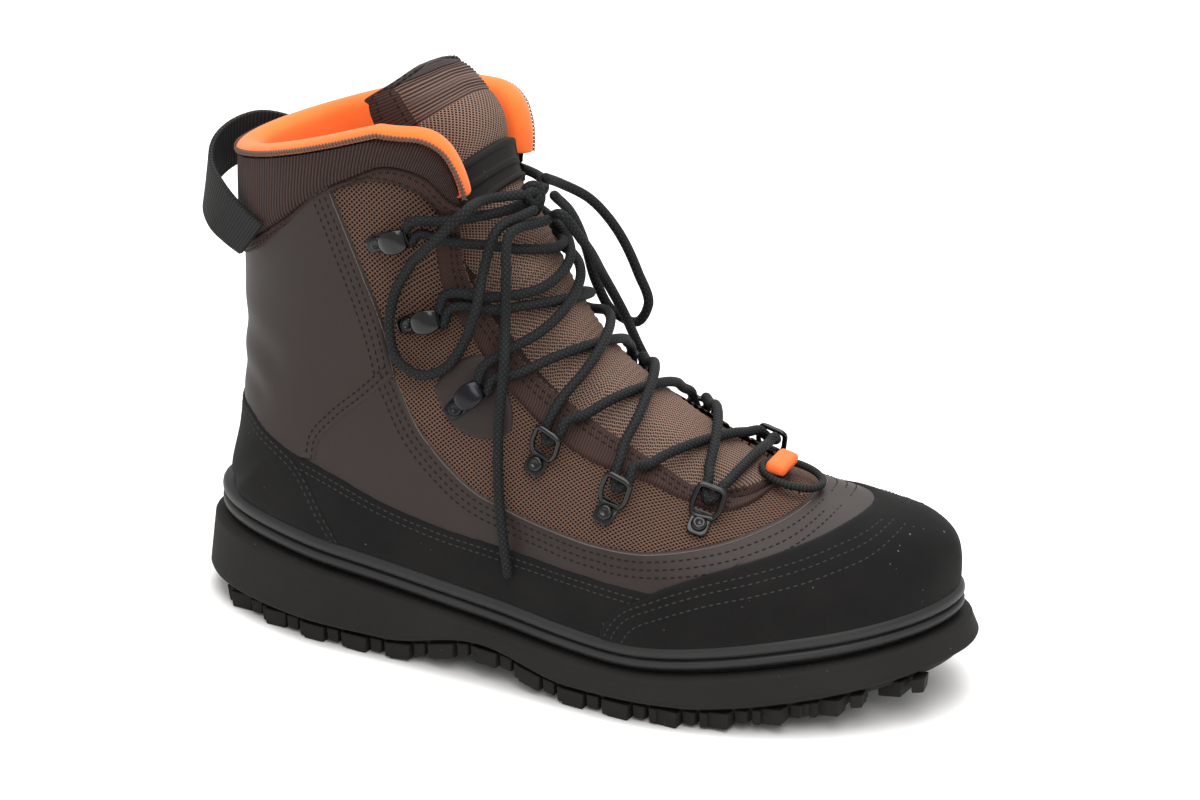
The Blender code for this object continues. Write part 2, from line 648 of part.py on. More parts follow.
def add_sole(boot, cutters):
    def welt(share):
        return lambda x: lip_z(x) + FIT + (feather_z(x) - lip_z(x) - FIT) * share

    outsole = sole_body("outsole", (
        (even(BASE_INSET), base_z),
        (even(BASE_INSET - 0.0012), lambda x: base_z(x) + 0.5 * STEP_HEIGHT),
        (even(-SIDE_FLARE + 0.0008), step_z),
        (even(-SIDE_FLARE), lambda x: step_z(x) + 0.0012),
        (even(-0.0004), lambda x: lip_z(x) - 0.0022),
        (even(0.0006), lambda x: lip_z(x) - 0.0005),
        (even(0.0020), lip_z),
    ), "rubber", boot)
    boolean(outsole, lug_blocks(cutters), "UNION").modifiers["union"].use_self = True
    sole_body("midsole", (
        (even(WELT_INSET + 2.0 * RIB_DEPTH), welt(0.0)),
        (even(WELT_INSET + 1.8 * RIB_DEPTH), welt(0.12)),
        (even(WELT_INSET + 0.3 * RIB_DEPTH), welt(0.20)),
        (even(WELT_INSET), welt(0.32)),
        (even(WELT_INSET + 0.1 * RIB_DEPTH), welt(0.46)),
        (even(WELT_INSET + 0.9 * RIB_DEPTH), welt(0.52)),
        (even(WELT_INSET + 0.3 * RIB_DEPTH), welt(0.58)),
        (even(WELT_INSET + 0.1 * RIB_DEPTH), welt(0.74)),
        (even(WELT_INSET + 0.5 * RIB_DEPTH), welt(0.90)),
        (even(WELT_INSET + 1.2 * RIB_DEPTH), welt(1.0)),
    ), "welt", boot)
    room = UPPER_WALL + INSOLE_ROOM
    bed = (HEEL_INSET + room, FLANK_INSET + room, TOE_INSET + room)
    sole_body("insole", (
        (bed, lambda x: feather_z(x) + FEATHER_GAP),
        (bed, lambda x: feather_z(x) + FEATHER_GAP + INSOLE_THICKNESS),
    ), "footbed", boot, count=14)


def lug_blocks(cutters):
    """Tapered blocks under the sole: a chunky row along each edge and two rows of slanted bars inside."""
    work = bmesh.new()
    for row in LUG_ROWS:
        reach = SOLE_LENGTH - 2 * LUG_MARGIN
        for k in range(row.count):
            share = row.first + (row.last - row.first) * k / (row.count - 1)
            x = LUG_MARGIN + reach * share
            wide = half_width(x, row.side, BASE_INSET, BASE_INSET, BASE_INSET)
            y = swing(x) + row.side * wide * (row.across - 0.5 * row.width)
            length = row.length * SOLE_LENGTH * (1.0 + LUG_VARY * math.cos(LUG_RHYTHM * k))
            add_block(work, x, y, (length, row.width * wide), math.radians(row.slant) * row.side)
    lugs = new_object("lug_blocks", to_mesh("lug_blocks", work), None, cutters)
    lugs.hide_render = True
    lugs.display_type = "WIRE"
    return lugs


def add_block(work, x, y, size, turn):
    """One lug: wide where it joins the base and narrower at its face, which keeps the tread's height."""
    made = []
    for level, scale in ((-LUG_SINK, 1.12), (0.0, 1.0)):
        for sx, sy in ((-1, -1), (1, -1), (1, 1), (-1, 1)):
            dx = 0.5 * size[0] * sx * scale
            dy = 0.5 * size[1] * sy * scale
            px = x + dx * math.cos(turn) - dy * math.sin(turn)
            py = y + dx * math.sin(turn) + dy * math.cos(turn)
            pz = base_z(px) - level if level else tread_z(px)
            made.append(work.verts.new((px, py, float(pz))))
    top, face = made[:4], made[4:]
    work.faces.new(top)
    work.faces.new(face[::-1])
    for i in range(4):
        j = (i + 1) % 4
        work.faces.new([top[j], top[i], face[i], face[j]])
    bmesh.ops.recalc_face_normals(work, faces=work.faces)


def tongue_point(place, half, sink, lean=1.0):
    """A point of the tongue's face: the last's own, leaned back and sunk under the eyestays."""
    place, half = np.broadcast_arrays(np.asarray(place, float), np.asarray(half, float))
    points = []
    for dp, dh in ((0, 0), (PLACE_STEP, 0), (0, HALF_STEP)):
        at, wide = place + dp, half + dh
        lateral = last_point(at, share_at(at, LATERAL, np.abs(wide)), LATERAL)
        medial = last_point(at, share_at(at, MEDIAL, np.abs(wide)), MEDIAL)
        point = np.where((wide < 0)[..., None], lateral, medial)
        back = BALL_WIDTH * np.maximum(read(TONGUE, "back", at), 0) * lean
        ahead = TONGUE_TWIST * ease((at - 15.0) / 4) * wide * lean
        points.append(point + np.stack([ahead - back, 0 * back, 0 * back], -1))
    normal = np.cross(points[2] - points[0], points[1] - points[0])
    normal /= np.linalg.norm(normal, axis=-1, keepdims=True)
    return points[0] - normal * np.asarray(sink)[..., None]


def swell(place, half):
    """How far the tongue's face stands out in the throat: nothing at its edges, most in the middle."""
    edge = np.maximum(throat_half(place, np.sign(half)), WELD)
    return TONGUE_SWELL * ease(1.6 * (1 - np.abs(half) / edge))


def add_tongue(boot):
    places = np.array([row.place for row in TONGUE] + TONGUE_TIP)[:, None]
    across = np.linspace(-1, 1, 9)[None, :]
    half = BALL_WIDTH * read(TONGUE, "half", places) * round_end(TONGUE_TIP[-1] + 0.02 - places, 1.0)
    half = half * across
    sink = UPPER_WALL + TONGUE_ROOM - swell(places, half)
    points = tongue_point(places + 0 * half, half, sink)
    tongue = new_object("tongue", grid_mesh("tongue", points), "mesh", boot)
    solidify(tongue, TONGUE_PAD, -1)


def add_upper(boot, cutters):
    upper = new_object("upper", upper_mesh("upper"), "mesh", boot)
    solidify(upper, UPPER_WALL, -1)
    across = 2 * BALL_WIDTH
    below = [(1.1 * SOLE_LENGTH, 0.0), (-0.1 * SOLE_LENGTH, 0.0)]
    counter = shifted(COUNTER_EDGE, -0.5 * FIT)
    band = shifted(BAND_TOP, -0.5 * FIT)
    cap = shifted(CAP_EDGE, -0.5 * FIT)
    cap_outer = shifted(CAP_EDGE, 0.5 * FIT)
    edge = shifted(LEATHER_EDGE, -0.5 * FIT)
    seam_front = shifted(SEAM, 0.5 * FIT)
    seam_back = shifted(SEAM, -0.5 * FIT)
    band_over = shifted(BAND_TOP, 0.5 * FIT)
    counter_over = shifted(COUNTER_EDGE, 0.5 * FIT)
    collar_low = shifted(COLLAR_LOW, -0.5 * FIT)
    panels = (
        ("heel_counter", NUBUCK, "nubuck", counter + below[1:], -across, across),
        ("toe_cap", NUBUCK, "nubuck", cap + [(1.1 * SOLE_LENGTH, cap[-1][1])] + below[:1], -across, across),
        ("mudguard_lateral", NUBUCK, "nubuck", mudguard(counter_over, band, cap_outer), -across, 0.0),
        ("mudguard_medial", NUBUCK, "nubuck", mudguard(counter_over, band, cap_outer), 0.0, across),
        ("vamp_panel", LEATHER, "leather",
         seam_front[::-1] + edge[EDGE_AT_SEAM + 1:] + cap_outer[:CAP_AT_BAND:-1] + band_over[:BAND_AT_SEAM:-1],
         -across, across),
        ("quarter_panel", LEATHER, "leather",
         counter_over[:COUNTER_AT_BAND] + band_over[1:BAND_AT_SEAM + 1] + seam_back[::-1]
         + edge[EDGE_AT_SEAM - 1:EDGE_AT_COLLAR:-1] + collar_low[COLLAR_AT_EDGE::-1],
         -across, across),
        ("collar_band", STRIP, "binding",
         shifted(COLLAR_LOW, 0.5 * FIT) + shifted(COLLAR_UP, -0.5 * FIT)[::-1], -across, across),
        ("collar_cuff", CUFF_PAD, "cuff",
         shifted(COLLAR_UP, 0.5 * FIT) + [(0.5 * SOLE_LENGTH, 1.3 * COLLAR_HEIGHT),
                                          (-0.1 * SOLE_LENGTH, 1.3 * COLLAR_HEIGHT)], -across, across),
    )
    stations = SOLE_LENGTH * np.linspace(1.05, -0.05, 34)
    line = [(x, float(feather_z(x)) + FEATHER_GAP) for x in stations]
    line += [(stations[-1], COLLAR_HEIGHT), (stations[0], COLLAR_HEIGHT)]
    above = prism("above_feather", line, -across, across, cutters)
    for name, thickness, finish, outline, low, high in panels:
        panel = new_object(name, upper_mesh(name, FIT), finish, boot)
        solidify(panel, thickness, 1)
        boolean(panel, prism(name + "_outline", outline, low, high, cutters), "INTERSECT")
        if thickness == NUBUCK:
            boolean(panel, above, "INTERSECT")
    return upper


def mudguard(counter, band, cap):
    return counter[:COUNTER_AT_BAND:-1] + band[1:] + cap[CAP_AT_BAND - 1::-1]


def at_distance(place, side, distance):
    """The point of the last at a distance, along a section, below the throat's edge."""
    edge = share_at(place, side, throat_half(place, side))
    points = last_point(place, edge * np.linspace(1.0, 0.1, 120), side)
    run = np.concatenate([[0], np.cumsum(np.linalg.norm(np.diff(points, axis=0), axis=1))])
    return np.array([np.interp(distance, run, points[:, k]) for k in range(3)])


def hook_distance(row, side):
    """Distance from the throat's edge to a hook's rivet."""
    return row.distance * BALL_WIDTH * (MEDIAL_REACH if side > 0 and row.kind == "ring" else 1.0)


def last_frame(place, side, distance):
    """Point, direction to the throat, direction along it and outward normal on the last."""
    point = at_distance(place, side, distance)
    along = at_distance(place + 0.1, side, distance) - at_distance(place - 0.1, side, distance)
    down = at_distance(place, side, distance + 0.0015) - at_distance(place, side, distance - 0.0015)
    normal = -side * np.cross(along, down)
    normal /= np.linalg.norm(normal)
    toward = np.cross(normal, along)
    toward *= -np.sign(toward @ down) / np.linalg.norm(toward)
    return point, toward, np.cross(normal, toward), normal


def placed(obj, point, toward, across, normal):
    """Set an object's local X, Y, Z on three directions at a point."""
    axes = Matrix((toward, across, normal)).transposed().to_4x4()
    obj.matrix_world = Matrix.Translation(Vector(point)) @ axes
    return obj


def flat_curve(outlines, thickness):
    """A mesh of flat outlines (the later ones are holes), from z = 0 up to the thickness."""
    curve = bpy.data.curves.new("outline", "CURVE")
    curve.dimensions = "2D"
    curve.fill_mode = "BOTH"
    curve.extrude = 0.5 * thickness
    for outline in outlines:
        line = curve.splines.new("POLY")
        line.points.add(len(outline) - 1)
        for point, (x, y) in zip(line.points, outline):
            point.co = (x, y, 0, 1)
        line.use_cyclic_u = True
    return curve_mesh(curve, 0.5 * thickness)


def curve_mesh(curve, lift=0.0):
    """The closed mesh of a curve, raised by a lift."""
    obj = bpy.data.objects.new("curve", curve)
    bpy.context.scene.collection.objects.link(obj)
    mesh = bpy.data.meshes.new_from_object(obj.evaluated_get(bpy.context.evaluated_depsgraph_get()))
    bpy.data.objects.remove(obj)
    work = bmesh.new()
    work.from_mesh(mesh)
    bmesh.ops.remove_doubles(work, verts=work.verts, dist=1e-6)
    bmesh.ops.translate(work, vec=(0, 0, lift), verts=work.verts)
    bmesh.ops.recalc_face_normals(work, faces=work.faces)
    work.to_mesh(mesh)
    work.free()
    return mesh


def hook_mesh():
    """A lace hook seen from its side, bent back over the lace, then run out to its width."""
    plate = HOOK_PLATE
    room = LACE_DIAMETER + 2 * FIT
    profile = (
        (-0.0050, FIT), (0.0050, FIT), (0.0115, 0.0011), (0.0148, 0.0028), (0.0156, 0.0050),
        (0.0144, 0.0074), (0.0115, 0.0024 + room + plate), (0.0045, 0.0016 + room + plate),
        (0.0042, 0.0008 + room + plate), (0.0110, 0.0024 + room), (0.0130, 0.0064), (0.0138, 0.0050),
        (0.0130, 0.0034), (0.0110, 0.0024), (0.0050, FIT + plate), (-0.0050, FIT + plate),
    )
    mesh = flat_curve([profile], HOOK_WIDTH)
    mesh.transform(Matrix(((1, 0, 0, 0), (0, 0, -1, 0.5 * HOOK_WIDTH), (0, 1, 0, 0), (0, 0, 0, 1))))
    return mesh


def ring_mesh():
    """A lace ring: a plate under the rivet and a square wire loop that rises towards the throat."""
    plate = ((-0.0050, -0.0030), (-RING_FOOT, -0.0045), (RING_FOOT, -0.0045), (0.0050, -0.0055),
             (0.0135, -0.0055), (0.0135, 0.0055), (0.0050, 0.0055), (RING_FOOT, 0.0045),
             (-RING_FOOT, 0.0045), (-0.0050, 0.0030))
    hole = ((0.0062, -0.0036), (0.0116, -0.0036), (0.0116, 0.0036), (0.0062, 0.0036))
    mesh = flat_curve([plate, hole], HOOK_PLATE)
    work = bmesh.new()
    work.from_mesh(mesh)
    bmesh.ops.bisect_plane(work, geom=work.verts[:] + work.edges[:] + work.faces[:], dist=WELD,
                           plane_co=(RING_FOOT, 0, 0), plane_no=(1, 0, 0))
    for vert in work.verts:
        vert.co.z += FIT + RING_RISE * max(vert.co.x - RING_FOOT, 0.0)
    return to_mesh("ring", work)


def rivet_mesh():
    work = bmesh.new()
    bmesh.ops.create_cone(work, cap_ends=True, segments=12, radius1=RIVET_RADIUS,
                          radius2=0.6 * RIVET_RADIUS, depth=RIVET_HEIGHT)
    bmesh.ops.translate(work, vec=(0, 0, HOOK_PLATE + 2 * FIT + 0.5 * RIVET_HEIGHT), verts=work.verts)
    return to_mesh("rivet", work)


def add_hooks(boot):
    meshes = {"hook": hook_mesh(), "ring": ring_mesh()}
    rivet = rivet_mesh()
    for mesh in (*meshes.values(), rivet):
        mesh.materials.append(material("metal"))
    for side, word in ((LATERAL, "lateral"), (MEDIAL, "medial")):
        for number, row in enumerate(HOOKS, 1):
            point, toward, across, normal = last_frame(row.place, side, hook_distance(row, side))
            turn = math.radians(row.turn) * side
            frame = (point + normal * FIT, toward * math.cos(turn) + across * math.sin(turn),
                     across * math.cos(turn) - toward * math.sin(turn), normal)
            label = f"{row.kind}_{word}_{number}"
            for name, mesh in ((label, meshes[row.kind]), (f"rivet_{word}_{number}", rivet)):
                obj = bpy.data.objects.new(name, mesh)
                boot.objects.link(obj)
                placed(obj, *frame)


def add_eyestays(boot, upper):
    places = np.linspace(EYESTAY[0].place, EYESTAY[-1].place, EYESTAY_ROWS)
    for side, word in ((LATERAL, "lateral"), (MEDIAL, "medial")):
        rows = []
        for place in places:
            width = BALL_WIDTH * float(read(EYESTAY, "width", place))
            rows.append([at_distance(place, side, width * part) for part in EYESTAY_COLUMNS])
        points = np.array(rows if side == MEDIAL else [row[::-1] for row in rows])
        name = "eyestay_" + word
        strip = new_object(name, grid_mesh(name, points), "binding", boot)
        onto = strip.modifiers.new("onto", "SHRINKWRAP")
        onto.target = upper
        onto.wrap_method = "NEAREST_SURFACEPOINT"
        onto.wrap_mode = "ABOVE_SURFACE"
        onto.offset = 2 * FIT
        solidify(strip, STRIP, 1)


def add_lining(boot):
    """The orange padding inside the collar, rolled over the rim and down the throat's edges."""
    column = np.linspace(0, 1, COLUMNS)
    rows = [row for row in ROWS if row >= LINING_END]
    half = [(COLLAR_PLACE, drop) for drop in column] + [(row, 1.0) for row in rows[-2::-1]]
    stops = [(p, d, MEDIAL) for p, d in half[:0:-1]] + [(p, d, LATERAL) for p, d in half]
    points = np.array([section_point(p, d, side) for p, d, side in stops])
    tangents = np.gradient(points, axis=0)
    loops = []
    for k, (place, drop, side) in enumerate(stops):
        near, far = section_point(np.array([place - 0.2, place + 0.2]), drop, side)
        low, high = section_point(place, np.clip(np.array([drop - 0.06, drop + 0.06]), 0, 1), side)
        normal = np.cross(far - near, high - low) * side
        if not drop:
            normal = np.array([-1.0, 0.0, 0.0])
        tangent = tangents[k] / np.linalg.norm(tangents[k])
        normal = normal - tangent * (normal @ tangent)
        normal /= np.linalg.norm(normal)
        beyond = np.cross(normal, tangent)
        leg = LINING_LEG[0] + (LINING_LEG[1] - LINING_LEG[0]) * ease(drop * 1.3)
        loops.append([points[k] + normal * (n - LEG_LEAN * max(-b, 0)) + beyond * b
                      for n, b in lining_profile(leg)])
    swept("collar_lining", loops, "lining", boot)


def lining_profile(leg):
    """The lining's section: outward and beyond the upper's edge, metres."""
    inner = -(UPPER_WALL + 2 * FIT)
    deep = inner - LINING_PAD
    outer = CUFF_PAD + 2 * FIT
    return ((inner, -leg), (inner, 1.5 * FIT), (outer, 1.5 * FIT), (outer + FIT, 0.4 * ROLL_HEIGHT),
            (0.4 * outer, 0.95 * ROLL_HEIGHT), (0.4 * deep, ROLL_HEIGHT), (0.8 * deep, 0.7 * ROLL_HEIGHT),
            (deep, 0.1 * ROLL_HEIGHT), (deep, -0.9 * leg), (0.8 * deep, -leg))


def add_loop(boot):
    at = np.linspace(0, len(LOOP) - 1, 22)
    index = range(len(LOOP))
    rows = np.array(LOOP)
    x, y, z, lean_x, lean_y = (smooth(index, rows[:, k], at) for k in range(rows.shape[1]))
    middle = np.stack([SOLE_LENGTH * x, BALL_WIDTH * y + swing(SOLE_LENGTH * x), COLLAR_HEIGHT * z], -1)
    rise = np.stack([lean_x, lean_y, np.sqrt(1 - lean_x ** 2 - lean_y ** 2)], -1)
    points = np.stack([middle + LOOP_WIDTH * share * rise for share in (-0.5, 0, 0.5)], 1)
    loop = new_object("pull_loop", grid_mesh("pull_loop", points), "webbing", boot)
    solidify(loop, LOOP_THICKNESS, 0)


def add_patch(boot):
    places = np.linspace(*PATCH_PLACES, 4)[:, None]
    halves = BALL_WIDTH * np.linspace(*PATCH_HALVES, 8)[None, :]
    halves, places = np.broadcast_arrays(halves, places)
    sink = UPPER_WALL + TONGUE_ROOM - swell(places, halves) - 2 * FIT
    points = tongue_point(places, halves, sink)
    patch = new_object("tongue_patch", grid_mesh("tongue_patch", points), "rubber", boot)
    solidify(patch, PATCH_THICKNESS, 1)


def add_keeper(boot):
    """The black oval ring at the foot of the lacing, and the orange tab through its outer side."""
    base = last_point(RING_PLACE, 1.0, LATERAL)
    ahead = last_point(RING_PLACE - 0.3, 1.0, LATERAL)
    forward = (ahead - base) / np.linalg.norm(ahead - base)
    across = np.array([0.0, 1.0, 0.0])
    normal = np.cross(forward, across)
    centre = base + normal * RING_LIFT
    curve = bpy.data.curves.new("ring", "CURVE")
    curve.dimensions = "3D"
    curve.bevel_depth = 0.5 * RING_WIRE
    curve.bevel_resolution = LACE_SIDES
    curve.use_fill_caps = False
    line = curve.splines.new("POLY")
    count = 18
    line.points.add(count - 1)
    for k, point in enumerate(line.points):
        turn = 2 * math.pi * k / count
        point.co = (0.5 * RING_LENGTH * math.cos(turn), 0.5 * RING_WIDTH * math.sin(turn), 0, 1)
    line.use_cyclic_u = True
    ring = new_object("lace_keeper_ring", curve_mesh(curve), "webbing", boot)
    placed(ring, centre, forward, across, normal)
    work = bmesh.new()
    bmesh.ops.create_cube(work, size=1.0)
    bmesh.ops.scale(work, vec=TAB_SIZE, verts=work.verts)
    bmesh.ops.bevel(work, geom=work.edges[:], offset=0.15 * TAB_SIZE[2], segments=2, affect="EDGES")
    tab = new_object("lace_keeper_tab", to_mesh("lace_keeper_tab", work), "lining", boot)
    placed(tab, centre - forward * TAB_SHIFT, forward, across, normal)


def tube(name, points, collection):
    """A round lace of LACE_DIAMETER through points, its two ends filled."""
    curve = bpy.data.curves.new(name, "CURVE")
    curve.dimensions = "3D"
    curve.bevel_depth = 0.5 * LACE_DIAMETER
    curve.bevel_resolution = LACE_SIDES
    curve.use_fill_caps = True
    line = curve.splines.new("POLY")
    line.points.add(len(points) - 1)
    for point, place in zip(line.points, points):
        point.co = (*place, 1)
    return new_object(name, curve_mesh(curve), "lace", collection)


def lace_stop(number, side, upper, lift=LACE_LIFT):
    """Where a lace run ends, just ahead of a hook's upper or lower half."""
    row = HOOKS[number]
    distance = hook_distance(row, side)
    point, _, _, normal = last_frame(row.place, side, max(distance - LACE_STOP, 0))
    rivet, toward, _, _ = last_frame(row.place, side, distance)
    along = at_distance(row.place + 0.1, side, distance) - rivet
    along *= (LACE_APART if upper else -LACE_APART) / np.linalg.norm(along)
    return 0.5 * (point + rivet + toward * LACE_STOP) + normal * lift + along


def laced(start, end, middle, outward, over=0.0):
    """Points of a lace pulled tight over the lacing.

    The lace stays in the plane that holds both ends and the outward direction between them.
    middle is the place half way, and over how much higher the lace lies there.
    """
    places = np.clip(np.linspace(middle - 5, middle + 5, 200), THROAT_FOOT, COLLAR_PLACE - 1)
    points = [start]
    for share in np.linspace(0, 1, LACE_POINTS)[1:-1]:
        chord = start + (end - start) * share
        half = chord[1] - float(swing(chord[0]))
        edge = throat_half(places, math.copysign(1, half))
        lean = ease((edge - abs(half)) / np.maximum(0.6 * edge, WELD))
        lift = LACE_LIFT + (over - LACE_SAG) * math.sin(math.pi * share)
        face = tongue_point(places, half + 0 * places, -lift + 0 * places, lean)
        gap = (face[:, 0] - chord[0]) * outward[2] - (face[:, 2] - chord[2]) * outward[0]
        order = np.argsort(gap)
        points.append(np.array([np.interp(0, gap[order], face[order, k]) for k in range(3)]))
    return points + [end]


def add_laces(boot, cutters):
    foot = laced(lace_stop(0, LATERAL, False), lace_stop(0, MEDIAL, False), HOOKS[0].place,
                 outward_at(LACE_TILTS[0]))
    tube("lace_bar", foot, boot)
    for number in range(len(HOOKS) - 1):
        middle = 0.5 * (HOOKS[number].place + HOOKS[number + 1].place)
        outward = outward_at(LACE_TILTS[number + 1])
        rising = (lace_stop(number, LATERAL, True), lace_stop(number + 1, MEDIAL, False))
        falling = (lace_stop(number, MEDIAL, True), lace_stop(number + 1, LATERAL, False))
        name = f"lace_cross_{number + 1}"
        cross = tube(name, laced(*rising, middle, outward, LACE_OVER), boot)
        other = tube(name + "_under", laced(*falling, middle, outward), cutters)
        other.hide_render = True
        other.display_type = "WIRE"
        boolean(cross, other, "UNION")
    last = len(HOOKS) - 1
    ends = [lace_stop(last, side, True, TOP_LIFT) for side in (LATERAL, MEDIAL)]
    top = laced(*ends, TOP_MIDDLE, outward_at(LACE_TILTS[-1]),
                TOP_LIFT - LACE_LIFT + LACE_SAG)
    tube("lace_top_lateral", top[:LACE_POINTS // 2], boot)
    tube("lace_top_medial", top[LACE_POINTS // 2 + 1:], boot)
    knot = bmesh.new()
    bmesh.ops.create_uvsphere(knot, u_segments=12, v_segments=8, radius=0.5)
    bmesh.ops.scale(knot, vec=KNOT_SIZE, verts=knot.verts)
    bmesh.ops.translate(knot, vec=lace_place(KNOT), verts=knot.verts)
    new_object("lace_knot", to_mesh("lace_knot", knot), "lace", boot)
    for name, rows in FREE_LACES.items():
        stops = np.array([lace_place(row) for row in rows])
        at = np.linspace(0, len(rows) - 1, 2 * len(rows) + 1)
        path = np.stack([smooth(range(len(rows)), stops[:, k], at) for k in range(3)], -1)
        tube(name, path, boot)


def outward_at(tilt):
    """The outward direction at a tilt, in degrees, above the horizontal."""
    return (math.cos(math.radians(tilt)), 0.0, math.sin(math.radians(tilt)))


def lace_place(row):
    return (SOLE_LENGTH * row.x, BALL_WIDTH * row.y, COLLAR_HEIGHT * row.z)


def centre(boot, cutters):
    """Hang everything on an empty that sets the boot's box, without its cords, on the origin."""
    bpy.context.view_layer.update()
    graph = bpy.context.evaluated_depsgraph_get()
    corners = []
    for obj in boot.objects:
        if obj.name not in CORDS:
            shape = obj.evaluated_get(graph)
            corners += [obj.matrix_world @ Vector(corner) for corner in shape.bound_box]
    low = [min(corner[k] for corner in corners) for k in range(3)]
    high = [max(corner[k] for corner in corners) for k in range(3)]
    middle = bpy.data.objects.new("boot_centre", None)
    boot.objects.link(middle)
    for obj in [*boot.objects, *cutters.objects]:
        if obj is not middle:
            obj.parent = middle
    middle.location = (-0.5 * (low[0] + high[0]), -0.5 * (low[1] + high[1]), -low[2])


def main():
    for obj in list(bpy.data.objects):
        bpy.data.objects.remove(obj)
    boot = bpy.data.collections.new("wading_boot")
    cutters = bpy.data.collections.new("cutters")
    bpy.context.scene.collection.children.link(boot)
    bpy.context.scene.collection.children.link(cutters)
    add_sole(boot, cutters)
    upper = add_upper(boot, cutters)
    add_tongue(boot)
    add_eyestays(boot, upper)
    add_lining(boot)
    add_patch(boot)
    add_loop(boot)
    add_hooks(boot)
    add_keeper(boot)
    add_laces(boot, cutters)
    centre(boot, cutters)


if __name__ == "__main__":
    main()
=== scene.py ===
"""Dressed model of a right wading boot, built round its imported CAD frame.

Metres, +Z up, +X to the toe and -Y to the outer side, as in the frame. Shapes are worked out in the
last's own frame (heel at x = 0) and set on the row frame by ORIGIN.
"""

import logging
import math
from collections import namedtuple
from collections.abc import Callable
from dataclasses import dataclass, field
from enum import Enum

import bmesh
import bpy
import numpy as np
from mathutils import Matrix, Vector
from mathutils.bvhtree import BVHTree


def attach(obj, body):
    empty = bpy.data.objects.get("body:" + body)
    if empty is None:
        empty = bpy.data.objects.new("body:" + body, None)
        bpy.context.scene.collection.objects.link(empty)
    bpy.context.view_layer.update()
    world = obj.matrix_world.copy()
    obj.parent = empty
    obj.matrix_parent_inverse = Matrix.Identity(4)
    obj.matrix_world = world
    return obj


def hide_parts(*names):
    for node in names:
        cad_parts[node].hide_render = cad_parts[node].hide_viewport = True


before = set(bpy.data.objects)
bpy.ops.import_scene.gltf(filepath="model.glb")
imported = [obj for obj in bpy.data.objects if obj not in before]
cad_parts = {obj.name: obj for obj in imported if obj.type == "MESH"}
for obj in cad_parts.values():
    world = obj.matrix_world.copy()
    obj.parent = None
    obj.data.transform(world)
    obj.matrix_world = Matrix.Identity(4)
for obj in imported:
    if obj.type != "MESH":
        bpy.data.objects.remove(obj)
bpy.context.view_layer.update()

logging.basicConfig(level=logging.INFO, format="%(message)s")
log = logging.getLogger("boot")


def table(kind: type, *rows: tuple) -> tuple:
    """Plain rows of numbers as rows with named columns."""
    return tuple(kind(*row) for row in rows)


# The last's heel point on the row frame.
ORIGIN = np.array((-0.1590, 0.004411, 0.0))
LATERAL = -1
MEDIAL = 1
SIDES = ((LATERAL, "lateral"), (MEDIAL, "medial"))
# Main sizes in metres, the same as the CAD part's.
SOLE_LENGTH = 0.318
BALL_WIDTH = 0.116
HEEL_HEIGHT = 0.0485
COLLAR_HEIGHT = 0.2150
TOE_SPRING = 0.014
ARCH_RISE = 0.0075
UPPER_WALL = 0.0022
TONGUE_ROOM = 0.0010
FIT = 0.0003
FEATHER_GAP = 0.0006
LUG_DEPTH = 0.0055
STEP_HEIGHT = 0.0040
SIDE_FLARE = 0.0028
BASE_INSET = 0.0036
WELT_INSET = 0.0030
RIB_DEPTH = 0.0016
HEEL_ROUND = 0.075
TOE_ROUND = 0.096
HEEL_INSET = 0.0105
FLANK_INSET = 0.0062
TOE_INSET = 0.0072
FEATHER_FLARE = 0.0014
# Places in SECTIONS: the back of the heel, and the collar's rim.
HEEL_PLACE = 18
COLLAR_PLACE = 25
# Power of the sole's rounded ends, and the steps that directions on the last are worked out from.
ROUND_POWER = 2.1
AHEAD = 0.1
BESIDE = 0.0015
# A guard against division by nothing, and how near two points are taken as one.
TINY = 1e-6
WELD = 2e-5
# Points of each lace run between two hooks.
LACE_POINTS = 9
# The lowest hook is plated, the others are painted.
LOWEST_HOOK = 4
# How far an overlay runs on past its line, sinking into what it covers.
PANEL_EDGE = 0.0012
# How far round an outline distances are worked out, the distance given beyond that, and how many points
# are taken at a time.
NEAR = 0.004
FAR = 0.010
BATCH = 4000
# How far zig-zag stitches are turned out of their row, in radians.
SLANT = 0.9
# The tongue's patch: places in SECTIONS, and shares of BALL_WIDTH from the middle.
PATCH_PLACES = (17.5, 19.1)
PATCH_HALVES = (-0.160, 0.120)

# Soft folds seen from the side, as shares of the length and the collar's height, then depth and width.
Crease = namedtuple("Crease", "x0 z0 x1 z1 depth width")
CREASES = table(
    Crease,
    (0.300, 0.655, 0.455, 0.600, 0.0007, 0.0055),
    (0.290, 0.760, 0.400, 0.715, 0.0005, 0.0050),
    (0.010, 0.560, 0.150, 0.505, 0.0005, 0.0060),
    (0.020, 0.470, 0.120, 0.440, 0.0004, 0.0045),
    (0.350, 0.480, 0.520, 0.400, 0.0005, 0.0070),
    (0.625, 0.300, 0.690, 0.420, 0.0006, 0.0045),
    (0.590, 0.270, 0.640, 0.360, 0.0004, 0.0040),
    (0.445, 0.300, 0.560, 0.225, 0.0004, 0.0060),
)
# The leather patch under the third hook from the top, in side view, as shares.
HOOK_PATCH = ((0.362, 0.535), (0.381, 0.581), (0.418, 0.600), (0.452, 0.545), (0.462, 0.474), (0.428, 0.456),
              (0.387, 0.474))
SolePlan = namedtuple("SolePlan", "station lateral medial swing")
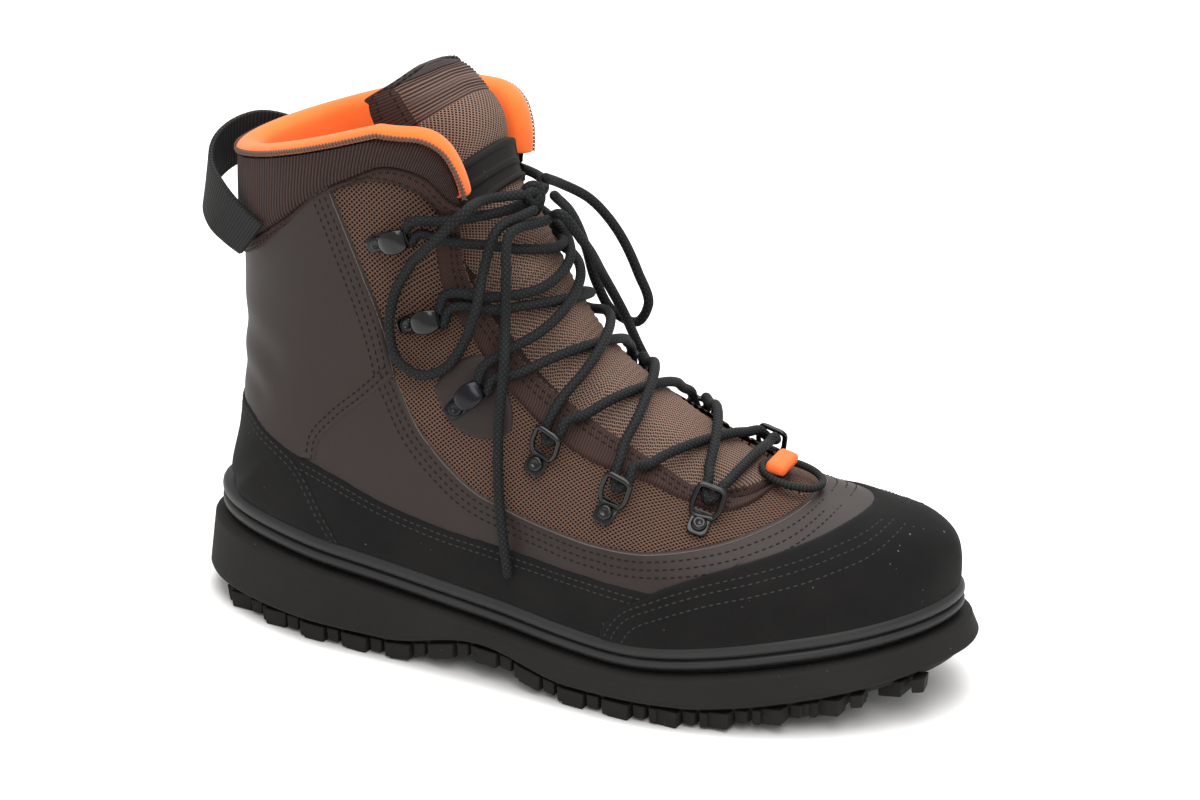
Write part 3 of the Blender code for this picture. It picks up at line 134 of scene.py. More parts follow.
# station is a share of SOLE_LENGTH, the half widths and the swing of the centre line of BALL_WIDTH.
SOLE_PLAN = table(
    SolePlan,
    (0.00, 0.379, 0.379, 0.039), (0.12, 0.390, 0.371, 0.028), (0.20, 0.409, 0.358, 0.017),
    (0.32, 0.429, 0.349, 0.004), (0.44, 0.468, 0.349, 0.003), (0.55, 0.527, 0.384, 0.007),
    (0.65, 0.570, 0.431, 0.017), (0.75, 0.562, 0.448, 0.033), (0.84, 0.557, 0.448, 0.050),
    (0.92, 0.545, 0.431, 0.061), (1.00, 0.517, 0.414, 0.069),
)

SoleSide = namedtuple("SoleSide", "station feather lip")
# Heights as shares of HEEL_HEIGHT: the feather line on the welt, and the outsole's lip.
SOLE_SIDE = table(
    SoleSide,
    (0.00, 1.000, 0.700), (0.20, 0.907, 0.630), (0.45, 0.732, 0.474), (0.65, 0.640, 0.392),
    (0.85, 0.825, 0.557), (1.00, 0.960, 0.700),
)

Section = namedtuple("Section", "place base rise ridge_x ridge_z body wide_at throat fullness")
# Sections of the last from the toe tip to the collar and, at the last place, past it for the tongue.
# base and ridge_x are shares of SOLE_LENGTH. rise (above the feather line) and ridge_z are shares
# of COLLAR_HEIGHT. body (least half width) and throat (half opening) are shares of BALL_WIDTH.
SECTIONS = table(
    Section,
    (0, 0.9773, 0.000, 0.9790, 0.270, 0.000, 0.22, 0.255, 2.1),
    (1, 0.9740, 0.000, 0.9745, 0.293, 0.000, 0.22, 0.255, 2.1),
    (2, 0.9640, 0.000, 0.9635, 0.310, 0.000, 0.22, 0.255, 2.1),
    (3, 0.9470, 0.000, 0.9445, 0.325, 0.000, 0.22, 0.255, 2.1),
    (4, 0.9230, 0.000, 0.9180, 0.336, 0.000, 0.22, 0.255, 2.1),
    (5, 0.8890, 0.000, 0.8800, 0.341, 0.000, 0.22, 0.255, 2.0),
    (6, 0.8370, 0.000, 0.8240, 0.350, 0.000, 0.22, 0.255, 2.0),
    (7, 0.7770, 0.000, 0.7610, 0.371, 0.000, 0.22, 0.255, 1.9),
    (8, 0.7110, 0.000, 0.6950, 0.412, 0.000, 0.22, 0.255, 1.9),
    (9, 0.6390, 0.000, 0.6350, 0.465, 0.000, 0.22, 0.266, 2.1),
    (10, 0.5660, 0.000, 0.5850, 0.514, 0.100, 0.22, 0.268, 2.3),
    (11, 0.4910, 0.000, 0.5430, 0.560, 0.300, 0.22, 0.262, 2.4),
    (12, 0.4120, 0.000, 0.5120, 0.610, 0.330, 0.23, 0.261, 2.4),
    (13, 0.3330, 0.000, 0.4890, 0.660, 0.335, 0.25, 0.259, 2.4),
    (14, 0.2550, 0.000, 0.4710, 0.711, 0.330, 0.27, 0.254, 2.4),
    (15, 0.1800, 0.000, 0.4570, 0.760, 0.325, 0.30, 0.245, 2.4),
    (16, 0.1130, 0.000, 0.4470, 0.806, 0.322, 0.33, 0.230, 2.4),
    (17, 0.0620, 0.000, 0.4420, 0.850, 0.318, 0.36, 0.223, 2.4),
    (18, 0.0330, 0.002, 0.4410, 0.889, 0.315, 0.38, 0.222, 2.4),
    (19, 0.0460, 0.104, 0.4450, 0.944, 0.310, 0.40, 0.229, 2.4),
    (20, 0.0530, 0.204, 0.4500, 0.987, 0.306, 0.42, 0.236, 2.4),
    (21, 0.0560, 0.301, 0.4530, 1.017, 0.303, 0.43, 0.244, 2.4),
    (22, 0.0560, 0.402, 0.4540, 1.036, 0.301, 0.44, 0.252, 2.4),
    (23, 0.0560, 0.492, 0.4540, 1.051, 0.301, 0.44, 0.263, 2.5),
    (24, 0.0560, 0.571, 0.4530, 1.061, 0.302, 0.45, 0.279, 2.6),
    (25, 0.0570, 0.645, 0.4500, 1.068, 0.303, 0.45, 0.299, 2.6),
    (26, 0.0600, 0.715, 0.4350, 1.095, 0.298, 0.45, 0.299, 2.6),
)
# The throat's round foot starts at one place and has its full width this many places higher.
THROAT_FOOT = 7.05
THROAT_ROUND = 0.95
MEDIAL_THROAT = 0.80
MEDIAL_REACH = 0.84
# How far the medial side of the collar stands ahead of the lateral one.
COLLAR_LEAD = 0.006

TongueRow = namedtuple("TongueRow", "place half back")
# half (half width on the last) and back (how far the tongue leans back) are shares of BALL_WIDTH.
TONGUE = table(
    TongueRow,
    (7.1, 0.090, 0.000), (7.5, 0.200, 0.000), (8.0, 0.285, 0.000), (9.0, 0.310, 0.000),
    (10.0, 0.312, 0.000), (11.0, 0.310, 0.000), (12.5, 0.306, 0.000), (14.0, 0.300, 0.000),
    (15.0, 0.290, 0.005), (16.0, 0.275, 0.018), (17.0, 0.262, 0.064), (18.0, 0.250, 0.114),
    (19.0, 0.240, 0.156), (20.0, 0.232, 0.190), (22.0, 0.225, 0.280), (24.0, 0.218, 0.345),
    (24.9, 0.205, 0.370), (25.3, 0.165, 0.380),
)
# How much higher the tongue's middle stands than its edges under the eyestays.
TONGUE_SWELL = 0.0042
TONGUE_TIP = 25.6
# How far the lateral half of the tongue's head is turned back.
TONGUE_TWIST = 0.20
# Steps that the tongue's normals are worked out from.
PLACE_STEP = 0.02
HALF_STEP = 0.0001

LugRow = namedtuple("LugRow", "side count first last across width length slant")
# across (outer end) and width are shares of the base's half width there, length of SOLE_LENGTH.
LUG_ROWS = table(
    LugRow,
    (LATERAL, 15, 0.06, 0.95, 0.97, 0.28, 0.034, 8),
    (MEDIAL, 15, 0.06, 0.95, 0.97, 0.28, 0.034, 8),
    (LATERAL, 12, 0.09, 0.90, 0.58, 0.42, 0.026, -20),
    (MEDIAL, 12, 0.09, 0.90, 0.58, 0.42, 0.026, -20),
)
# Space at both ends of the sole, and how much and how fast the lugs' length varies.
LUG_MARGIN = 0.004
LUG_VARY = 0.28
LUG_RHYTHM = 2.1

# Side-view lines of the overlays, as (share of SOLE_LENGTH, share of COLLAR_HEIGHT), heel to toe.
COUNTER_EDGE = ((-0.016, 0.414), (0.060, 0.405), (0.088, 0.400), (0.126, 0.377), (0.170, 0.340),
                (0.211, 0.265), (0.239, 0.200), (0.252, 0.100))
BAND_TOP = ((0.126, 0.377), (0.175, 0.350), (0.239, 0.330), (0.318, 0.298), (0.387, 0.279),
            (0.456, 0.270), (0.541, 0.260), (0.594, 0.256), (0.670, 0.247))
CAP_EDGE = ((0.588, 0.060), (0.597, 0.135), (0.626, 0.209), (0.670, 0.247), (0.723, 0.279),
            (0.792, 0.307), (0.858, 0.335), (0.896, 0.358), (0.912, 0.391), (0.918, 0.442))
LEATHER_EDGE = ((0.195, 0.953), (0.220, 0.860), (0.242, 0.786), (0.277, 0.665), (0.305, 0.540),
                (0.358, 0.437), (0.428, 0.358), (0.472, 0.340), (0.547, 0.321), (0.629, 0.312),
                (0.711, 0.321), (0.770, 0.340), (0.811, 0.363), (0.836, 0.400), (0.843, 0.442))
SEAM = ((0.305, 0.540), (0.270, 0.488), (0.226, 0.428), (0.201, 0.381), (0.198, 0.349))
COLLAR_LOW = ((-0.016, 0.651), (0.031, 0.660), (0.066, 0.679), (0.101, 0.712), (0.154, 0.786),
              (0.204, 0.856), (0.239, 0.884), (0.280, 0.902), (0.321, 0.893), (0.346, 0.870),
              (0.358, 0.844), (0.410, 0.826))
COLLAR_UP = ((-0.016, 0.674), (0.060, 0.702), (0.138, 0.781), (0.214, 0.874), (0.255, 0.907),
             (0.289, 0.930), (0.340, 0.916), (0.371, 0.870), (0.410, 0.849))

HookPlace = namedtuple("HookPlace", "place distance kind")
# distance from the throat's edge to the rivet is a share of BALL_WIDTH.
HOOKS = table(
    HookPlace,
    (7.90, 0.127, "ring"),
    (9.62, 0.245, "ring"),
    (11.42, 0.228, "ring"),
    (13.84, 0.282, "hook"),
    (16.80, 0.272, "hook"),
    (20.64, 0.346, "hook"),
)
EyestayRow = namedtuple("EyestayRow", "place width")
# width is a share of BALL_WIDTH.
EYESTAY = table(
    EyestayRow,
    (7.35, 0.050), (8.40, 0.062), (9.20, 0.084), (10.0, 0.112), (12.5, 0.100), (15.0, 0.092),
    (18.4, 0.106),
)

LoopRow = namedtuple("LoopRow", "x y z lean_x lean_y")
# The pull loop's middle line round the heel from the lateral to the medial side, as shares of
# SOLE_LENGTH, BALL_WIDTH and COLLAR_HEIGHT, and how its upper edge leans, as shares of its width.
LOOP = table(
    LoopRow,
    (0.1000, -0.266, 0.742, 0.60, -0.22), (0.0730, -0.236, 0.755, 0.55, -0.18),
    (0.0380, -0.180, 0.776, 0.38, -0.05), (0.0080, -0.090, 0.798, 0.18, 0.00),
    (0.0010, 0.000, 0.825, 0.05, 0.00), (0.0120, 0.090, 0.847, 0.05, 0.00),
    (0.0360, 0.170, 0.855, 0.12, 0.00), (0.0680, 0.226, 0.838, 0.30, 0.05),
    (0.0900, 0.249, 0.800, 0.50, 0.18), (0.1000, 0.257, 0.760, 0.60, 0.22),
)

# Where a lace run stops ahead of its hook's rivet, how high it lies over the last, and how far its
# two strands stay apart there.
LACE_STOP = 0.0188
LACE_LIFT = 0.0050
LACE_SAG = 0.0007
LACE_OVER = 0.0018
LACE_APART = 0.0030
# Degrees above the horizontal of each run's plane: the bar, the crossings upwards and the top.
LACE_TILTS = (62, 58, 52, 36, 14, -6, 2)
TOP_MIDDLE = 18.0
TOP_LIFT = 0.0073
LACE_DIAMETER = 0.0040

LaceRow = namedtuple("LaceRow", "x y z")
# The knot and the free laces from it outwards, as shares of SOLE_LENGTH, BALL_WIDTH and
# COLLAR_HEIGHT.
KNOT = LaceRow(0.4410, -0.020, 0.853)
FREE_LACES = {
    "lace_loop_lateral": table(
        LaceRow,
        (0.438, -0.099, 0.874), (0.409, -0.187, 0.875), (0.404, -0.369, 0.879), (0.373, -0.385, 0.827),
        (0.328, -0.328, 0.757), (0.306, -0.324, 0.694), (0.302, -0.342, 0.635), (0.313, -0.344, 0.577),
        (0.346, -0.363, 0.559), (0.377, -0.357, 0.577), (0.398, -0.341, 0.622), (0.419, -0.360, 0.696),
        (0.420, -0.286, 0.769), (0.428, -0.244, 0.827), (0.454, -0.098, 0.847),
    ),
    "lace_end_lateral": table(
        LaceRow,
        (0.463, -0.037, 0.820), (0.444, -0.251, 0.817), (0.450, -0.299, 0.761), (0.450, -0.310, 0.678),
        (0.459, -0.378, 0.608), (0.455, -0.391, 0.523), (0.456, -0.415, 0.441), (0.462, -0.445, 0.362),
        (0.472, -0.476, 0.293), (0.479, -0.479, 0.229),
    ),
    "lace_loop_medial": table(
        LaceRow,
        (0.446, 0.057, 0.879), (0.450, 0.155, 0.852), (0.474, 0.259, 0.808), (0.498, 0.328, 0.744),
        (0.521, 0.371, 0.655), (0.534, 0.379, 0.591), (0.519, 0.379, 0.555), (0.491, 0.362, 0.571),
        (0.470, 0.345, 0.627), (0.462, 0.302, 0.704), (0.460, 0.190, 0.789), (0.460, 0.042, 0.851),
    ),
    "lace_end_medial": table(
        LaceRow,
        (0.465, -0.003, 0.822), (0.479, -0.034, 0.834), (0.500, 0.017, 0.779), (0.500, 0.207, 0.674),
        (0.513, 0.302, 0.586), (0.522, 0.397, 0.496), (0.536, 0.405, 0.456),
    ),
}

Array = np.ndarray
Value = float | Array
Pair = tuple[Array, Array]
Object = bpy.types.Object
Mesh = bpy.types.Mesh
Tree = bpy.types.NodeTree
Socket = bpy.types.NodeSocket


def lengths(points: Array) -> Array:
    """Distance along a path to each of its points."""
    return np.concatenate([[0], np.cumsum(np.linalg.norm(np.diff(points, axis=0), axis=1))])


def unit(vectors: Array) -> Array:
    """Vectors brought to a length of one."""
    return vectors / np.linalg.norm(vectors, axis=-1, keepdims=True)


def smooth(xs: Array, ys: Array, at: Value) -> Array:
    """The smooth curve through a table's points, held level outside it.

    Args:
        xs: rising positions.
        ys: the value at each.
        at: where the curve is read.

    Returns:
        The values there.
    """
    xs, ys = np.asarray(xs, float), np.asarray(ys, float)
    at = np.clip(np.asarray(at, float), xs[0], xs[-1])
    step = np.diff(xs)
    rise = np.diff(ys) / step
    slope = np.empty_like(ys)
    slope[0], slope[-1] = rise[0], rise[-1]
    slope[1:-1] = (rise[:-1] * step[1:] + rise[1:] * step[:-1]) / (step[1:] + step[:-1])
    i = np.clip(np.searchsorted(xs, at, side="right") - 1, 0, len(step) - 1)
    h = step[i]
    t = (at - xs[i]) / h
    ends = (1 + 2 * t) * (1 - t) ** 2 * ys[i] + t * t * (3 - 2 * t) * ys[i + 1]
    return ends + t * (1 - t) ** 2 * h * slope[i] + t * t * (t - 1) * h * slope[i + 1]


def read(rows: tuple, name: str, at: Value) -> Array:
    """One column of a table of named rows, whose first column is the place."""
    return smooth([row[0] for row in rows], [getattr(row, name) for row in rows], at)


def ramp(value: Value) -> Array:
    """The value held between nothing and one."""
    return np.clip(value, 0.0, 1.0)


def ease(value: Value) -> Array:
    """The value held between nothing and one, with a soft start and end."""
    value = ramp(value)
    return value * value * (3 - 2 * value)


def round_end(distance: Value, reach: Value) -> Array:
    """Share of the full half width at a distance from a rounded end."""
    return np.sqrt(1 - (1 - ramp(distance / reach)) ** ROUND_POWER)


def rolled(distance: Value, reach: Value) -> Array:
    """A quarter round: nothing at an edge, one at its reach."""
    return np.sqrt(1 - (1 - ramp(distance / reach)) ** 2)


def swing(x: Value) -> Array:
    """How far the centre line stands to the medial side."""
    return BALL_WIDTH * read(SOLE_PLAN, "swing", x / SOLE_LENGTH)


def half_width(x: Value, side: int, heel: float, flank: float, toe: float) -> Array:
    """Half width of the sole's outline.

    Args:
        x: distance from the heel.
        side: LATERAL or MEDIAL.
        heel: how far the outline is drawn in at the heel.
        flank: the same at the sides.
        toe: the same at the toe.

    Returns:
        The half widths.
    """
    full = SOLE_LENGTH - heel - toe
    share = ramp((x - heel) / full)
    lateral = read(SOLE_PLAN, "lateral", share)
    medial = read(SOLE_PLAN, "medial", share)
    width = BALL_WIDTH * np.where(np.asarray(side) < 0, lateral, medial) - flank
    return width * round_end(share * full, HEEL_ROUND - heel) * round_end((1 - share) * full, TOE_ROUND - toe)


def feather_z(x: Value) -> Array:
    """Height of the line where the upper meets the welt."""
    return HEEL_HEIGHT * read(SOLE_SIDE, "feather", x / SOLE_LENGTH)


def lip_z(x: Value) -> Array:
    """Height of the outsole's lip."""
    return HEEL_HEIGHT * read(SOLE_SIDE, "lip", x / SOLE_LENGTH)


def tread_z(x: Value) -> Array:
    """Height of the lugs' faces: flat under heel and ball, raised at the arch and the toe.

    Args:
        x: distance from the heel.

    Returns:
        The heights.
    """
    share = x / SOLE_LENGTH
    arch = ease((share - 0.30) / 0.13) * ease((0.57 - share) / 0.13)
    return ARCH_RISE * arch + TOE_SPRING * ramp((share - 0.72) / 0.28) ** 1.2


def base_z(x: Value) -> Array:
    """Height of the rubber between the lugs."""
    return tread_z(x) + LUG_DEPTH


def step_z(x: Value) -> Array:
    """Height of the lower step round the sole."""
    return base_z(x) + STEP_HEIGHT


def foot_half(place: Value, side: int) -> Array:
    """Half width of a section at its base, nothing above the heel."""
    base_x = SOLE_LENGTH * read(SECTIONS, "base", place)
    return half_width(base_x, side, HEEL_INSET, FLANK_INSET, TOE_INSET) * ramp(HEEL_PLACE - place)


def widest(place: Value, foot: Value) -> Array:
    """Half width of a section at its widest: the foot's own, or the body of the ankle and shaft.

    Args:
        place: the section's place in SECTIONS.
        foot: its half width at the base.

    Returns:
        The half widths.
    """
    body = BALL_WIDTH * np.maximum(read(SECTIONS, "body", place), 0)
    flare = FEATHER_FLARE * ramp(place / 2)
    return ((foot + flare) ** 8 + body ** 8) ** 0.125


def last_point(place: Value, share: Value, side: int) -> Array:
    """A point of the last.

    Args:
        place: the section's place in SECTIONS.
        share: share of the way from the section's base to its ridge.
        side: LATERAL or MEDIAL.

    Returns:
        Points in the last's frame.
    """
    base_x = SOLE_LENGTH * read(SECTIONS, "base", place)
    rise = COLLAR_HEIGHT * np.maximum(read(SECTIONS, "rise", place), 0)
    base_height = feather_z(base_x) + FEATHER_GAP + rise
    ridge_x = SOLE_LENGTH * read(SECTIONS, "ridge_x", place)
    ridge_z = COLLAR_HEIGHT * read(SECTIONS, "ridge_z", place)
    foot = foot_half(place, side)
    wide = widest(place, foot)
    middle = read(SECTIONS, "wide_at", place)
    low = np.sqrt(np.maximum(1 - ramp((middle - share) / middle) ** ROUND_POWER, 0))
    below = foot + (wide - foot) * low
    fullness = read(SECTIONS, "fullness", place)
    above = wide * np.sqrt(1 - ramp((share - middle) / (1 - middle)) ** fullness)
    half = np.where(share < middle, below, above)
    lead = COLLAR_LEAD * (side > 0) * ease((place - 18) / 5) * share * ramp(half / (0.2 * BALL_WIDTH))
    x = base_x + (ridge_x - base_x) * share + lead
    z = base_height + (ridge_z - base_height) * share
    return np.stack([x, swing(x) + side * half, z], -1)


def throat_half(place: Value, side: int) -> Array:
    """Half width of the throat, smaller on the medial side below the collar.

    Args:
        place: the section's place in SECTIONS.
        side: LATERAL or MEDIAL.

    Returns:
        The half widths.
    """
    medial = MEDIAL_THROAT + (1 - MEDIAL_THROAT) * ease((place - 16) / 4)
    share = np.where(np.asarray(side) > 0, medial, 1.0)
    return (BALL_WIDTH * read(SECTIONS, "throat", place) * share
            * round_end(place - THROAT_FOOT, THROAT_ROUND))


def share_at(place: Value, side: int, half: Value) -> Array:
    """Where a section's upper side has a given half width.

    Args:
        place: the section's place in SECTIONS.
        side: LATERAL or MEDIAL.
        half: the half width.

    Returns:
        Shares of the way from the section's base to its ridge.
    """
    middle = read(SECTIONS, "wide_at", place)
    level = ramp(half / np.maximum(widest(place, foot_half(place, side)), TINY))
    share = (1 - level ** 2) ** (1 / read(SECTIONS, "fullness", place))
    return middle + (1 - middle) * share


def shifted(outline: tuple, amount: float) -> list:
    """A side-view line in metres, moved to its left.

    Args:
        outline: its points as shares.
        amount: how far it is moved.

    Returns:
        Its points.
    """
    line = np.array([(a * SOLE_LENGTH, u * COLLAR_HEIGHT) for a, u in outline])
    along = unit(np.gradient(line, axis=0))
    return [tuple(p) for p in line + amount * np.stack([-along[:, 1], along[:, 0]], -1)]


def tongue_point(place: Value, half: Value, sink: Value, lean: Value = 1.0) -> Array:
    """A point of the tongue's face: the last's own, leaned back and sunk under the eyestays.

    Args:
        place: the place in SECTIONS.
        half: distance from the middle, negative on the lateral side.
        sink: depth below the last.
        lean: share of the tongue's lean that is used.

    Returns:
        Points in the last's frame.
    """
    place, half = np.broadcast_arrays(np.asarray(place, float), np.asarray(half, float))
    points = []
    for dp, dh in ((0, 0), (PLACE_STEP, 0), (0, HALF_STEP)):
        at, wide = place + dp, half + dh
        lateral = last_point(at, share_at(at, LATERAL, np.abs(wide)), LATERAL)
        medial = last_point(at, share_at(at, MEDIAL, np.abs(wide)), MEDIAL)
        point = np.where((wide < 0)[..., None], lateral, medial)
        back = BALL_WIDTH * np.maximum(read(TONGUE, "back", at), 0) * lean
        ahead = TONGUE_TWIST * ease((at - 15.0) / 4) * wide * lean
        points.append(point + np.stack([ahead - back, 0 * back, 0 * back], -1))
    normal = unit(np.cross(points[2] - points[0], points[1] - points[0]))
    return points[0] - normal * np.asarray(sink)[..., None]


def swell(place: Value, half: Value) -> Array:
    """How far the tongue's face stands out in the throat: nothing at its edges, most in the middle."""
    edge = np.maximum(throat_half(place, np.sign(half)), WELD)
    return TONGUE_SWELL * ease(1.6 * (1 - np.abs(half) / edge))


def at_distance(place: float, side: int, distance: float) -> Array:
    """The point of the last at a distance, along a section, below the throat's edge.

    Args:
        place: the section's place in SECTIONS.
        side: LATERAL or MEDIAL.
        distance: the distance in metres.

    Returns:
        The point.
    """
    edge = share_at(place, side, throat_half(place, side))
    points = last_point(place, edge * np.linspace(1.0, 0.1, 120), side)
    run = lengths(points)
    return np.array([np.interp(distance, run, points[:, k]) for k in range(3)])


def hook_distance(row: HookPlace, side: int) -> float:
    """Distance from the throat's edge to a hook's rivet."""
    return row.distance * BALL_WIDTH * (MEDIAL_REACH if side > 0 and row.kind == "ring" else 1.0)


def last_frame(place: float, side: int, distance: float) -> tuple:
    """A point of the last with its directions.

    Args:
        place: the section's place in SECTIONS.
        side: LATERAL or MEDIAL.
        distance: distance below the throat's edge.

    Returns:
        The point, the directions to the throat and along it, and the outward normal.
    """
    point = at_distance(place, side, distance)
    along = at_distance(place + AHEAD, side, distance) - at_distance(place - AHEAD, side, distance)
    down = at_distance(place, side, distance + BESIDE) - at_distance(place, side, distance - BESIDE)
    normal = unit(-side * np.cross(along, down))
    toward = np.cross(normal, along)
    toward = unit(toward) * -np.sign(toward @ down)
    return point, toward, np.cross(normal, toward), normal


def lace_stop(number: int, side: int, upper: bool, lift: float = LACE_LIFT) -> Array:
    """Where a lace run ends, just ahead of a hook's upper or lower half.

    Args:
        number: the hook's row in HOOKS.
        side: LATERAL or MEDIAL.
        upper: whether it is the hook's upper half.
        lift: how high the lace lies over the last.

    Returns:
        The point.
    """
    row = HOOKS[number]
    distance = hook_distance(row, side)
    point, _, _, normal = last_frame(row.place, side, max(distance - LACE_STOP, 0))
    rivet, toward, _, _ = last_frame(row.place, side, distance)
    along = unit(at_distance(row.place + AHEAD, side, distance) - rivet)
    along = along * (LACE_APART if upper else -LACE_APART)
    return 0.5 * (point + rivet + toward * LACE_STOP) + normal * lift + along


def laced(start: Array, end: Array, middle: float, outward: tuple, over: float = 0.0) -> list:
    """Points of a lace pulled tight over the lacing.

    The lace stays in the plane that holds both ends and the outward direction between them.

    Args:
        start: its first point.
        end: its last point.
        middle: the place in SECTIONS half way.
        outward: the outward direction.
        over: how much higher the lace lies half way.

    Returns:
        The points.
    """
    places = np.clip(np.linspace(middle - 5, middle + 5, 200), THROAT_FOOT, COLLAR_PLACE - 1)
    points = [start]
    for share in np.linspace(0, 1, LACE_POINTS)[1:-1]:
        chord = start + (end - start) * share
        half = chord[1] - float(swing(chord[0]))
        edge = throat_half(places, math.copysign(1, half))
        lean = ease((edge - abs(half)) / np.maximum(0.6 * edge, WELD))
        lift = LACE_LIFT + (over - LACE_SAG) * math.sin(math.pi * share)
        face = tongue_point(places, half + 0 * places, -lift + 0 * places, lean)
        gap = (face[:, 0] - chord[0]) * outward[2] - (face[:, 2] - chord[2]) * outward[0]
        order = np.argsort(gap)
        points.append(np.array([np.interp(0, gap[order], face[order, k]) for k in range(3)]))
    return points + [end]


def outward_at(tilt: float) -> tuple[float, float, float]:
    """The outward direction at a tilt, in degrees, above the horizontal."""
    return (math.cos(math.radians(tilt)), 0.0, math.sin(math.radians(tilt)))


def lace_place(row: LaceRow) -> tuple[float, float, float]:
    """A row of a lace's way in metres."""
    return (SOLE_LENGTH * row.x, BALL_WIDTH * row.y, COLLAR_HEIGHT * row.z)


class Pattern(Enum):
    """How a surface's fine relief and colour are drawn."""

    NAP = "nap"
    GRAIN = "grain"
    WEAVE = "weave"
    RIBS = "ribs"
    TAPE = "tape"
    BRAID = "braid"
    SMOOTH = "smooth"


@dataclass(frozen=True)
class Finish:
    """One finish: its colours, gloss and pattern, with sizes in millimetres."""

    name: str
    slot: str
    colour: str
    second: str
    roughness: float
    pattern: Pattern = Pattern.SMOOTH
    pitch: float = 1.0
    depth: float = 0.1
    metallic: float = 0.0
    coat: float = 0.0
    sheen: float = 0.0
    gloss: float = 0.5
    specks: float = 0.0
    coat_roughness: float = 0.12
    sheen_roughness: float = 0.6
    speck_colour: str = "#77736f"

    def material(self) -> bpy.types.Material:
        """The finish as a material, made once."""
        made = bpy.data.materials.get(self.name)
        return made if made else self.build()

    def build(self) -> bpy.types.Material:
        """Make the material's nodes.

        Returns:
            The material.
        """
        made = bpy.data.materials.new(self.name)
        made.use_nodes = True
        tree = made.node_tree
        shader = tree.nodes["Principled BSDF"]
        for name, value in (("Metallic", self.metallic), ("Coat Weight", self.coat),
                            ("Coat Roughness", self.coat_roughness), ("Sheen Weight", self.sheen),
                            ("Sheen Roughness", self.sheen_roughness), ("Specular IOR Level", self.gloss)):
            shader.inputs[name].default_value = value
        place = add_node(tree, "ShaderNodeTexCoord").outputs["Object"]
        height = self.height(tree, place)
        cloud = add_node(tree, "ShaderNodeTexNoise", {"Scale": 38.0, "Detail": 4.0}, {"Vector": place})
        worn = add_node(tree, "ShaderNodeMapRange", {"From Min": 0.35, "From Max": 0.7, "To Max": 0.35},
                        {"Value": cloud.outputs["Fac"]})
        # On the cloth patterns the colour follows the relief: the first colour in the grooves and holes is
        # painted shade, and the second on the raised threads and ribs is partly the cloth's own colour and
        # partly painted highlight.
        relief_shading = self.pattern in (Pattern.WEAVE, Pattern.RIBS, Pattern.TAPE, Pattern.BRAID)
        share = height if relief_shading else worn.outputs["Result"]
        if relief_shading:
            low = 0.42 if self.pattern is Pattern.WEAVE else 0.25
            blend = add_node(tree, "ShaderNodeMapRange", {"From Min": low, "From Max": low + 0.5},
                             {"Value": share})
            share = blend.outputs["Result"]
        mix = add_node(tree, "ShaderNodeMix", {6: linear(self.colour), 7: linear(self.second)},
                       {0: share}, data_type="RGBA")
        colour = self.specked(tree, place, mix.outputs[2]) if self.specks else mix.outputs[2]
        tree.links.new(colour, shader.inputs["Base Color"])
        rough = add_node(tree, "ShaderNodeMapRange",
                         {"To Min": self.roughness - 0.08, "To Max": self.roughness + 0.10},
                         {"Value": cloud.outputs["Fac"]})
        tree.links.new(rough.outputs["Result"], shader.inputs["Roughness"])
        bump = add_node(tree, "ShaderNodeBump", {"Strength": 1.0, "Distance": self.depth * 0.001},
                        {"Height": height})
        tree.links.new(bump.outputs["Normal"], shader.inputs["Normal"])
        return made

    def specked(self, tree: Tree, place: Socket, colour: Socket) -> Socket:
        """The colour with small pale specks of dust.

        Args:
            tree: the material's nodes.
            place: the Object coordinates.
            colour: the colour under the specks.

        Returns:
            The socket that holds the result.
        """
        cells = add_node(tree, "ShaderNodeTexVoronoi", {"Scale": 260.0}, {"Vector": place})
        drift = add_node(tree, "ShaderNodeTexNoise", {"Scale": 60.0}, {"Vector": place})
        size = add_node(tree, "ShaderNodeMapRange", {"From Min": 0.52, "From Max": 0.72, "To Max": 0.13},
                        {"Value": drift.outputs["Fac"]})
        both = {0: size.outputs["Result"], 1: cells.outputs["Distance"]}
        inside = add_node(tree, "ShaderNodeMath", links=both, operation="GREATER_THAN")
        part = add_node(tree, "ShaderNodeMath", {1: self.specks}, {0: inside.outputs[0]},
                        operation="MULTIPLY")
        mix = add_node(tree, "ShaderNodeMix", {7: linear(self.speck_colour)}, {0: part.outputs[0], 6: colour},
                       data_type="RGBA")
        return mix.outputs[2]

    def height(self, tree: Tree, place: Socket) -> Socket:
        """The relief of the pattern, from 0 to 1.

        Args:
            tree: the material's nodes.
            place: the Object coordinates.

        Returns:
            The socket that holds the height.
        """
        scale = 1000.0 / self.pitch
        if self.pattern in (Pattern.NAP, Pattern.SMOOTH):
            grain = add_node(tree, "ShaderNodeTexNoise", {"Scale": scale, "Detail": 6.0, "Roughness": 0.65},
                             {"Vector": place})
            return grain.outputs["Fac"]
        if self.pattern is Pattern.GRAIN:
            cells = add_node(tree, "ShaderNodeTexVoronoi", {"Scale": scale}, {"Vector": place},
                             feature="SMOOTH_F1")
            return cells.outputs["Distance"]
        cloth = add_node(tree, "ShaderNodeUVMap", uv_map="cloth")
        parts = add_node(tree, "ShaderNodeSeparateXYZ", links={"Vector": cloth.outputs["UV"]})
        turn = 2.0 * math.pi * scale
        along, across = parts.outputs["X"], parts.outputs["Y"]
        if self.pattern is Pattern.RIBS:
            return wave(tree, along, turn)
        if self.pattern is Pattern.TAPE:
            return wave(tree, across, turn)
        both = add_node(tree, "ShaderNodeMath", links={0: along, 1: across}, operation="ADD")
        less = add_node(tree, "ShaderNodeMath", links={0: along, 1: across}, operation="SUBTRACT")
        first = wave(tree, both.outputs[0], turn * 0.5)
        second = wave(tree, less.outputs[0], turn * 0.5)
        kind = "MAXIMUM" if self.pattern is Pattern.WEAVE else "MULTIPLY"
        return add_node(tree, "ShaderNodeMath", links={0: first, 1: second}, operation=kind).outputs[0]


